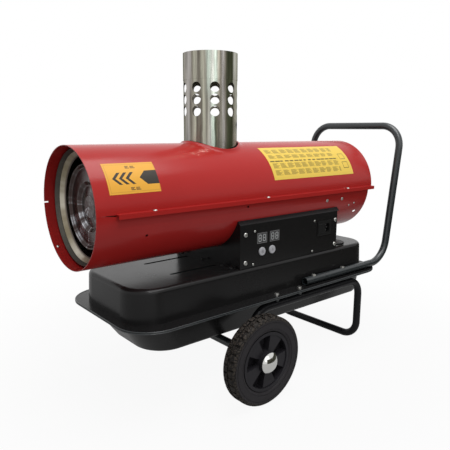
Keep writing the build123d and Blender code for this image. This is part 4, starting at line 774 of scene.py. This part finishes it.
def glued_sheet(name, material, start, width, low, high):
    """Thin sheet that follows the barrel between two angles above the near seam."""
    deselect()
    bpy.ops.mesh.primitive_cylinder_add(
        vertices=360, radius=casing_radius + sheet_lift, depth=width, end_fill_type="NOTHING",
        location=behind_edge(start + width / 2, 0, axis_height), rotation=along_x)
    piece = bpy.context.object
    apply_place()

    def outside(place):
        up = degrees(atan2(place.z - axis_height, -place.y))
        return not low - angle_slack < up < high + angle_slack

    with editing(piece, outside):
        bpy.ops.mesh.delete(type="VERT")
    apply_modifier(piece, "SOLIDIFY", thickness=sheet_thickness, offset=-1)
    finish_piece(piece, name, material, smooth=40)


small_paper = printed_paper("orange paper", (0.66, 0.33, 0.04), (0.028, 0.024, 0.018), small_start,
                            small_low, small_print)
long_paper = printed_paper("yellow paper", (0.66, 0.465, 0.08), (0.12, 0.095, 0.025), long_start,
                           long_low, long_print)
glued_sheet("small_sheet", small_paper, small_start, small_width, small_low, small_high)
glued_sheet("long_sheet", long_paper, long_start, long_width, long_low, long_high)

# %% [markdown]
# ## Digits in the two windows
# Each window shows two seven segment digits. A segment is a flat hexagon with long sides. It starts
# as a six sided circle that stands on a point; its upper and lower halves are pulled apart, and
# seven copies make a digit. A thin pale grey frame round each window is a painted highlight on the
# window's edge.

# %% Digits
lit_segment = moulded("lit segment", (0.30, 0.31, 0.31), (0.40, 0.41, 0.41), 0.4)
# Pale grey frame round each window: a painted highlight on its edge.
window_highlight_trim = moulded("window highlight trim", (0.13, 0.13, 0.13), (0.19, 0.19, 0.19), 0.35)
segment_width = 0.0021
segment_gap = 0.0008
digit_width = 0.0078
digit_height = 0.0150
digit_pitch = 0.0140
trim_margin, trim_line = 0.0008, 0.0011
mark_thickness = 0.00015


def raise_flat(piece, thickness):
    """Gives a flat face that looks along its own +Z a thickness."""
    with editing(piece):
        bpy.ops.mesh.extrude_region_move(TRANSFORM_OT_translate={"value": (0, 0, thickness)})
        bpy.ops.mesh.select_all(action="SELECT")
        bpy.ops.mesh.normals_make_consistent(inside=False)


def raised_outline(piece, line):
    """Keeps a line's width round a flat face and gives it a thickness."""
    with editing(piece):
        bpy.ops.mesh.inset(thickness=line)
        bpy.ops.mesh.delete(type="FACE")
    raise_flat(piece, mark_thickness)
    return piece


def segment(length):
    """One segment at the origin, pointing along Y."""
    deselect()
    bpy.ops.mesh.primitive_circle_add(vertices=6, radius=segment_width / 2, fill_type="NGON")
    piece = bpy.context.object
    for side in (-1, 1):
        with editing(piece, lambda place: side * place.y > 0):
            bpy.ops.transform.translate(value=(0, side * (length - segment_width) / 2, 0))
    raise_flat(piece, mark_thickness)
    return piece


def on_panel(x, y, z, turn=0.0):
    """Place on the near panel: a flat piece's own Z looks out of it, turned by an angle in its plane."""
    return Matrix.Translation((x, y, z)) @ Matrix.Rotation(pi / 2, 4, "X") @ Matrix.Rotation(turn, 4, "Z")


for side in ("left", "right"):
    low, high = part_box(side + "_display")
    centre_x, centre_z, face_y = (low.x + high.x) / 2, (low.z + high.z) / 2, low.y
    places = []
    for offset in (-digit_pitch / 2, digit_pitch / 2):
        x = centre_x + offset
        for rise in (-1, 0, 1):
            places.append(on_panel(x, face_y, centre_z + rise * digit_height / 2, pi / 2))
        for aside in (-1, 1):
            for rise in (-1, 1):
                places.append(on_panel(x + aside * digit_width / 2, face_y,
                                       centre_z + rise * digit_height / 4))
    digits = copies_at(segment(digit_width - segment_gap), places)
    finish_piece(digits, side + "_digits", lit_segment, smooth=0)

    trim = rectangle(high.x - low.x - trim_margin, high.z - low.z - trim_margin)
    raised_outline(trim, trim_line)
    trim.matrix_world = on_panel(centre_x, face_y, centre_z)
    finish_piece(trim, side + "_window_highlight_trim", window_highlight_trim, smooth=0)

# %% [markdown]
# ## Marks on the two buttons
# The left button has a ring with a bar, and the right one a triangle: both are plain signs that any
# maker uses. Ring and triangle start as flat circles, of 32 corners and of three, and keep a line's
# width round their edge. They ride on the buttons.

# %% Button marks
print_grey = moulded("grey print", (0.12, 0.12, 0.13), (0.15, 0.15, 0.16), 0.5)
mark_radius = 0.0038
mark_line = 0.0009

for side, corners in (("left", 32), ("right", 3)):
    low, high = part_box(side + "_button")
    place = on_panel((low.x + high.x) / 2, low.y, (low.z + high.z) / 2)
    deselect()
    bpy.ops.mesh.primitive_circle_add(vertices=corners, radius=mark_radius, fill_type="NGON")
    mark = raised_outline(bpy.context.object, mark_line)
    mark.matrix_world = place
    if side == "left":
        stroke = segment(mark_radius)
        stroke.matrix_world = place
        mark = join([mark, stroke])
    finish_piece(mark, side + "_button_mark", print_grey, body=side + "_button_body", smooth=0)

# %% [markdown]
# ## Pan head screws
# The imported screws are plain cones. Real ones have a rounded head with a cross recess, which shows
# as a dark speck in a bright dot. One is modelled: a short cylinder, its top edge bevelled, its
# underside inset and extruded into the shank, and two crossing slots cut with Boolean. Copies stand
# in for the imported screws. Each place is a point and the direction that the head looks.

# %% Screw model
head_share = 2.0
rounding_share = 0.75
recess_share = 1.15
slot_share = 0.42
cutter_share = 1.1


def pan_screw(shank_radius, shank_length):
    """Screw at the origin: head above Z = 0, shank below it."""
    height = shank_radius
    screw = upright_cylinder(28, head_share * shank_radius, height)
    apply_place()
    with editing(screw, lambda place: place.z > height / 2):
        bpy.ops.mesh.bevel(offset=rounding_share * height, segments=4, affect="EDGES")
    with editing(screw, lambda place: place.z < height / 1000):
        bpy.ops.mesh.inset(thickness=(head_share - 1) * shank_radius)
        bpy.ops.mesh.extrude_region_move(TRANSFORM_OT_translate={"value": (0, 0, -shank_length)})
    for turn in (0, pi / 2):
        deselect()
        bpy.ops.mesh.primitive_cube_add(size=1, location=(0, 0, height), rotation=(0, 0, turn))
        cutter = bpy.context.object
        cutter.scale = (2 * recess_share * shank_radius, slot_share * shank_radius, cutter_share * height)
        apply_modifier(screw, "BOOLEAN", object=cutter, operation="DIFFERENCE", solver="EXACT")
        bpy.data.objects.remove(cutter)
    return screw


def looking(point, direction):
    """Matrix that stands a screw on a point, with its head towards a direction."""
    return Matrix.Translation(point) @ Vector(direction).to_track_quat("Z", "Y").to_matrix().to_4x4()


print("screw model ready")

# %% [markdown]
# ## Screws of the barrel
# Six screws close the seam, four hold the motor bracket and two small ones hold a clamp at the rear.

# %% Barrel screws
seam_setbacks = (0.11996, 0.42597, 0.727)
bracket_setbacks, bracket_angle = (0.651, 0.7135), 12.0
clamp_spots = ((0.754, 22.3), (0.775, 20.0))
seam_screw_reach = 0.130
seam_screw_seat = axis_height + casing_sheet
shank_radius, small_shank_radius = 0.0022, 0.0014
seam_shank, skin_shank = 0.006, 0.0018


def barrel_place(setback, angle, side=1):
    """A screw's place on the lower barrel, an angle below the seam; side -1 is the far flank."""
    point = on_barrel(setback, -angle)
    point.y *= side
    return looking(point, (0, point.y, point.z - axis_height))


seam_places = [looking(behind_edge(setback, side * seam_screw_reach, seam_screw_seat), (0, 0, 1))
               for setback in seam_setbacks for side in (-1, 1)]
bracket_places = [barrel_place(setback, bracket_angle, side)
                  for setback in bracket_setbacks for side in (-1, 1)]
clamp_places = [barrel_place(setback, angle) for setback, angle in clamp_spots]
barrel_screws = join([copies_at(pan_screw(shank_radius, seam_shank), seam_places),
                      copies_at(pan_screw(shank_radius, skin_shank), bracket_places),
                      copies_at(pan_screw(small_shank_radius, skin_shank), clamp_places)])
finish_piece(barrel_screws, "barrel_screws", finishes["zinc_screws"], smooth=35)
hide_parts("drum_screws")

# %% [markdown]
# ## Screws of the base
# Four bright screws hold each side panel, four small ones hold the board and the inlet, and eight
# black ones fix the end panels to the tank. The black ones are a piece of their own, because they
# have another finish.

# %% Base screws
panel_reach = 0.125
panel_setbacks = (0.361, 0.685)
panel_heights = (0.291, 0.357)
small_spots = ((0.390, 0.362), (0.386, 0.284), (0.600, 0.3626), (0.595, 0.284))
foot_setbacks = (0.335, 0.683)
foot_reaches = (0.087, 0.0, -0.073, -0.105)
foot_seat = 0.2795
panel_shank_radius = 0.0027
panel_shank, small_shank, foot_shank = 0.006, 0.003, 0.0027

panel_places = [looking(behind_edge(setback, side * panel_reach, height), (0, side, 0))
                for setback in panel_setbacks for height in panel_heights for side in (-1, 1)]
small_places = [looking(behind_edge(setback, -panel_reach, height), (0, -1, 0))
                for setback, height in small_spots]
foot_places = [looking(behind_edge(setback, reach, foot_seat), (0, 0, 1))
               for setback in foot_setbacks for reach in foot_reaches]
panel_screws = join([copies_at(pan_screw(panel_shank_radius, panel_shank), panel_places),
                     copies_at(pan_screw(small_shank_radius, small_shank), small_places)])
finish_piece(panel_screws, "panel_screws", finishes["zinc_screws"], smooth=35)
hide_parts("base_screws")
foot_screws = copies_at(pan_screw(shank_radius, foot_shank), foot_places)
finish_piece(foot_screws, "foot_screws", finishes["black_plastic"], smooth=35)
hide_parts("base_screws")

# %% [markdown]
# ## Hexagon bolts
# Four bolts go down through the handle's tube and four through the flange into the leg tube. A bolt
# is a six sided cylinder on a thin washer. Forging leaves its corners chamfered, which a bevel of
# the top edge gives, and the shank is a cylinder of its own.

# %% Bolts
bolt_head_radius = 0.006
bolt_head_height = 0.004
bolt_shank_radius = 0.003
washer_radius = 0.0062
washer_height = 0.0008
chamfer_share = 0.16
nut_height = 0.003
handle_setbacks = (0.581, 0.700)
leg_setbacks = (0.4406, 0.5214)
handle_reach, handle_seat, handle_shank = 0.145, 0.226, 0.026
leg_reach, leg_seat, leg_shank = 0.150, 0.206, 0.024


def hexagon_bolt(shank_length, nut=0):
    """Bolt with its washer's middle at the origin: head above it, shank below, and a nut if given."""
    pieces = [upright_cylinder(24, washer_radius, washer_height)]
    heads = [(washer_height, bolt_head_height - washer_height)]
    if nut:
        heads.append((-shank_length, nut))
    for base, height in heads:
        head = upright_cylinder(6, bolt_head_radius, height, base)
        apply_place()
        with editing(head, lambda place: place.z > base + height / 2):
            bpy.ops.mesh.bevel(offset=chamfer_share * bolt_head_radius, segments=2, affect="EDGES")
        pieces.append(head)
    pieces.append(upright_cylinder(20, bolt_shank_radius, shank_length, -shank_length))
    return join(pieces)


def bolt_places(setbacks, reach, seat):
    """Upright places on both sides of the heater."""
    return [Matrix.Translation(behind_edge(setback, side * reach, seat))
            for setback in setbacks for side in (-1, 1)]


bolts = join([copies_at(hexagon_bolt(handle_shank, nut_height),
                        bolt_places(handle_setbacks, handle_reach, handle_seat)),
              copies_at(hexagon_bolt(leg_shank), bolt_places(leg_setbacks, leg_reach, leg_seat))])
finish_piece(bolts, "hexagon_bolts", finishes["zinc_screws"], smooth=25)
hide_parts("frame_bolts")

# %% [markdown]
# ## Rivet inside the rim
# One rivet shows inside the front of the lower shell. Its head is the top half of a ball, flattened
# against the sheet: the lower half is deleted, the hole filled, and the rest scaled down.

# %% Rivet
rivet_setback = 0.0083
rivet_angle = radians(-48.1)
rivet_radius = 0.0032
rivet_flatness = 0.45
skin_inside = casing_radius - casing_sheet
deselect()
bpy.ops.mesh.primitive_uv_sphere_add(segments=20, ring_count=12, radius=rivet_radius)
rivet = bpy.context.object
with editing(rivet, lambda place: place.z < -rivet_radius / 100):
    bpy.ops.mesh.delete(type="VERT")
    bpy.ops.mesh.select_all(action="SELECT")
    bpy.ops.mesh.edge_face_add()
    bpy.ops.transform.resize(value=(1, 1, rivet_flatness))
inwards = Vector((0, -cos(rivet_angle), -sin(rivet_angle)))
rivet.matrix_world = looking(behind_edge(rivet_setback, 0, axis_height) - skin_inside * inwards, inwards)
finish_piece(rivet, "rim_rivet", finishes["zinc_screws"], smooth=60)

# %% [markdown]
# ## Hems of the tank's flange
# The rim of the tank is turned down, and both its edges are rolled over a little, so each catches a
# fine line of light. The hems take the tubes' glossier, slightly lighter powder coat instead of the
# tank's black enamel, a lit copy of the black paint that makes these lines brighter: in part painted
# highlight. A hem starts as a plane as big as the flange. Its corners are bevelled round, the face is
# deleted, and the outline that stays becomes a curve with a round section, then a mesh.

# %% Flange hems
flange_low, flange_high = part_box("tank_upper")
flange_corner = 0.077
hem_radius = 0.0013
hem_heights = (0.2056, flange_low.z + hem_radius)


def flange_hem(height):
    """Thin round bead that follows the flange's edge at a height."""
    middle = ((flange_low.x + flange_high.x) / 2, (flange_low.y + flange_high.y) / 2, height)
    hem = rectangle(flange_high.x - flange_low.x, flange_high.y - flange_low.y, middle)
    with editing(hem):
        bpy.ops.mesh.bevel(offset=flange_corner, segments=14, affect="VERTICES")
        bpy.ops.mesh.select_all(action="SELECT")
        bpy.ops.mesh.delete(type="ONLY_FACE")
    bpy.ops.object.convert(target="CURVE")
    bpy.context.object.data.bevel_depth = hem_radius
    bpy.context.object.data.bevel_resolution = 2
    bpy.ops.object.convert(target="MESH")
    return bpy.context.object


hems = join([flange_hem(height) for height in hem_heights])
# The hems' glossier, lighter finish is in part painted highlight on the flange's edges.
finish_piece(hems, "flange_hems", finishes["black_tube"], smooth=60)
print("flange at", [round(value, 4) for value in hem_heights])

# %% [markdown]
# ## The floor
# The photograph has a white background and hardly a shadow. The floor is pale and diffuse, so it
# takes the heater's shadow, and to the camera and to mirrors it is mixed with an even white: all of
# it further out, and less of it near the heater, where the shadow stays and black paint is dark.

# %% Floor
floor_size = 60
floor_grey = (0.42, 0.42, 0.42)
shadow_reach, white_reach = 0.3, 1.1
dark_reach, bright_reach = 0.6, 2.4
near_white = 0.93
near_mirrored = 0.28


def studio_floor():
    """Pale floor whose seen colour turns white away from the heater."""
    deselect()
    bpy.ops.mesh.primitive_plane_add(size=floor_size)
    floor = bpy.context.object
    floor.name = "floor"
    pale, tree, here = start_finish("pale floor", roughness=0.9, specular=0.0)
    floor.data.materials.append(wire(pale, Base_Color=floor_grey))
    paths = new_node(tree, "LightPath").outputs
    away = place_group(tree, turned, Vector=here)["Radius"]
    far = smooth_step(tree, away, shadow_reach, white_reach)
    seen = step(tree, "MULTIPLY", paths["Is Camera Ray"], spread(tree, far, near_white, 1.0))
    further = smooth_step(tree, away, dark_reach, bright_reach)
    mirrored = step(tree, "MULTIPLY", paths["Is Glossy Ray"], spread(tree, further, near_mirrored, 1.0))
    mix = new_node(tree, "MixShader", Fac=step(tree, "MAXIMUM", seen, mirrored))
    plug(tree, mix.inputs[1], tree.nodes["Principled BSDF"].outputs[0])
    plug(tree, mix.inputs[2], new_node(tree, "Emission").outputs[0])
    plug(tree, tree.nodes["Material Output"].inputs["Surface"], mix.outputs[0])
    return floor


print("floor", studio_floor().dimensions[0], "m wide")

# %% [markdown]
# ## The room's light
# The world is white where the camera, a mirror or glass looks, and plain and dimmer as a light. Its
# even light alone would be flat, so lamps are added below.

# %% World
world_level = 0.40


def world_light():
    """White where it is seen, and a plain level as a light."""
    world = bpy.data.worlds.new("studio")
    bpy.context.scene.world = world
    world.use_nodes = True
    tree = world.node_tree
    paths = new_node(tree, "LightPath").outputs
    seen = either(tree, *(paths[f"Is {kind} Ray"] for kind in ("Camera", "Glossy", "Transmission")))
    background = tree.nodes["Background"].inputs
    plug(tree, background["Color"], (1, 1, 1))
    plug(tree, background["Strength"], spread(tree, seen, world_level, 1.0))


world_light()
print("world level", world_level)

# %% [markdown]
# ## Lamps
# A square area lamp is a soft box. `lamp` places one and turns it towards a point. One hangs above
# the heater and a weaker one stands in front. A third, small one is weak as a light, but its
# reflection draws fine bright lines on the rounded edges.

# %% Lamps
heart = Vector((0, 0, 0.35))


def lamp(name, place, size, power):
    """Square soft box aimed at the heater's heart."""
    bpy.ops.object.light_add(type="AREA", location=place)
    box = bpy.context.object
    box.name = name
    box.data.size = size
    box.data.energy = power
    box.rotation_mode = "QUATERNION"
    box.rotation_quaternion = (heart - Vector(place)).to_track_quat("-Z", "Y")
    print(name, power, "W")


lamp("overhead", (0.1, -0.5, 2.4), 1.5, 41)
lamp("front", (-0.6, -2.4, 1.5), 1.9, 11)
lamp("edge_light", (-0.8, -1.3, 2.1), 0.14, 8)

# %% [markdown]
# ## A dark screen for the mirrors
# A chrome cap in an all white room looks like white plastic. Photographers stand a dark screen round
# the set, so that polished metal has something to mirror. This one is a low wall on an arc, cut from
# a wide cylinder. Only glossy rays see it: it takes no light from the heater and casts no shadow.

# %% Dark screen
screen_radius, screen_height = 1.1, 0.5
screen_start, screen_end = -115, 5
screen_colour = (0.11, 0.11, 0.085)


def dark_screen():
    """Low curved wall that only reflections see."""
    screen = upright_cylinder(72, screen_radius, screen_height, ends="NOTHING")
    apply_place()
    with editing(screen, lambda place: not screen_start < degrees(atan2(place.y, place.x)) < screen_end):
        bpy.ops.mesh.delete(type="VERT")
    screen.name = "dark_screen"
    screen.visible_camera = screen.visible_diffuse = screen.visible_shadow = False
    cloth = start_finish("screen cloth", roughness=1.0, specular=0.0)[0]
    screen.data.materials.append(wire(cloth, Base_Color=screen_colour))
    return screen


print("screen", [round(side, 2) for side in dark_screen().dimensions])
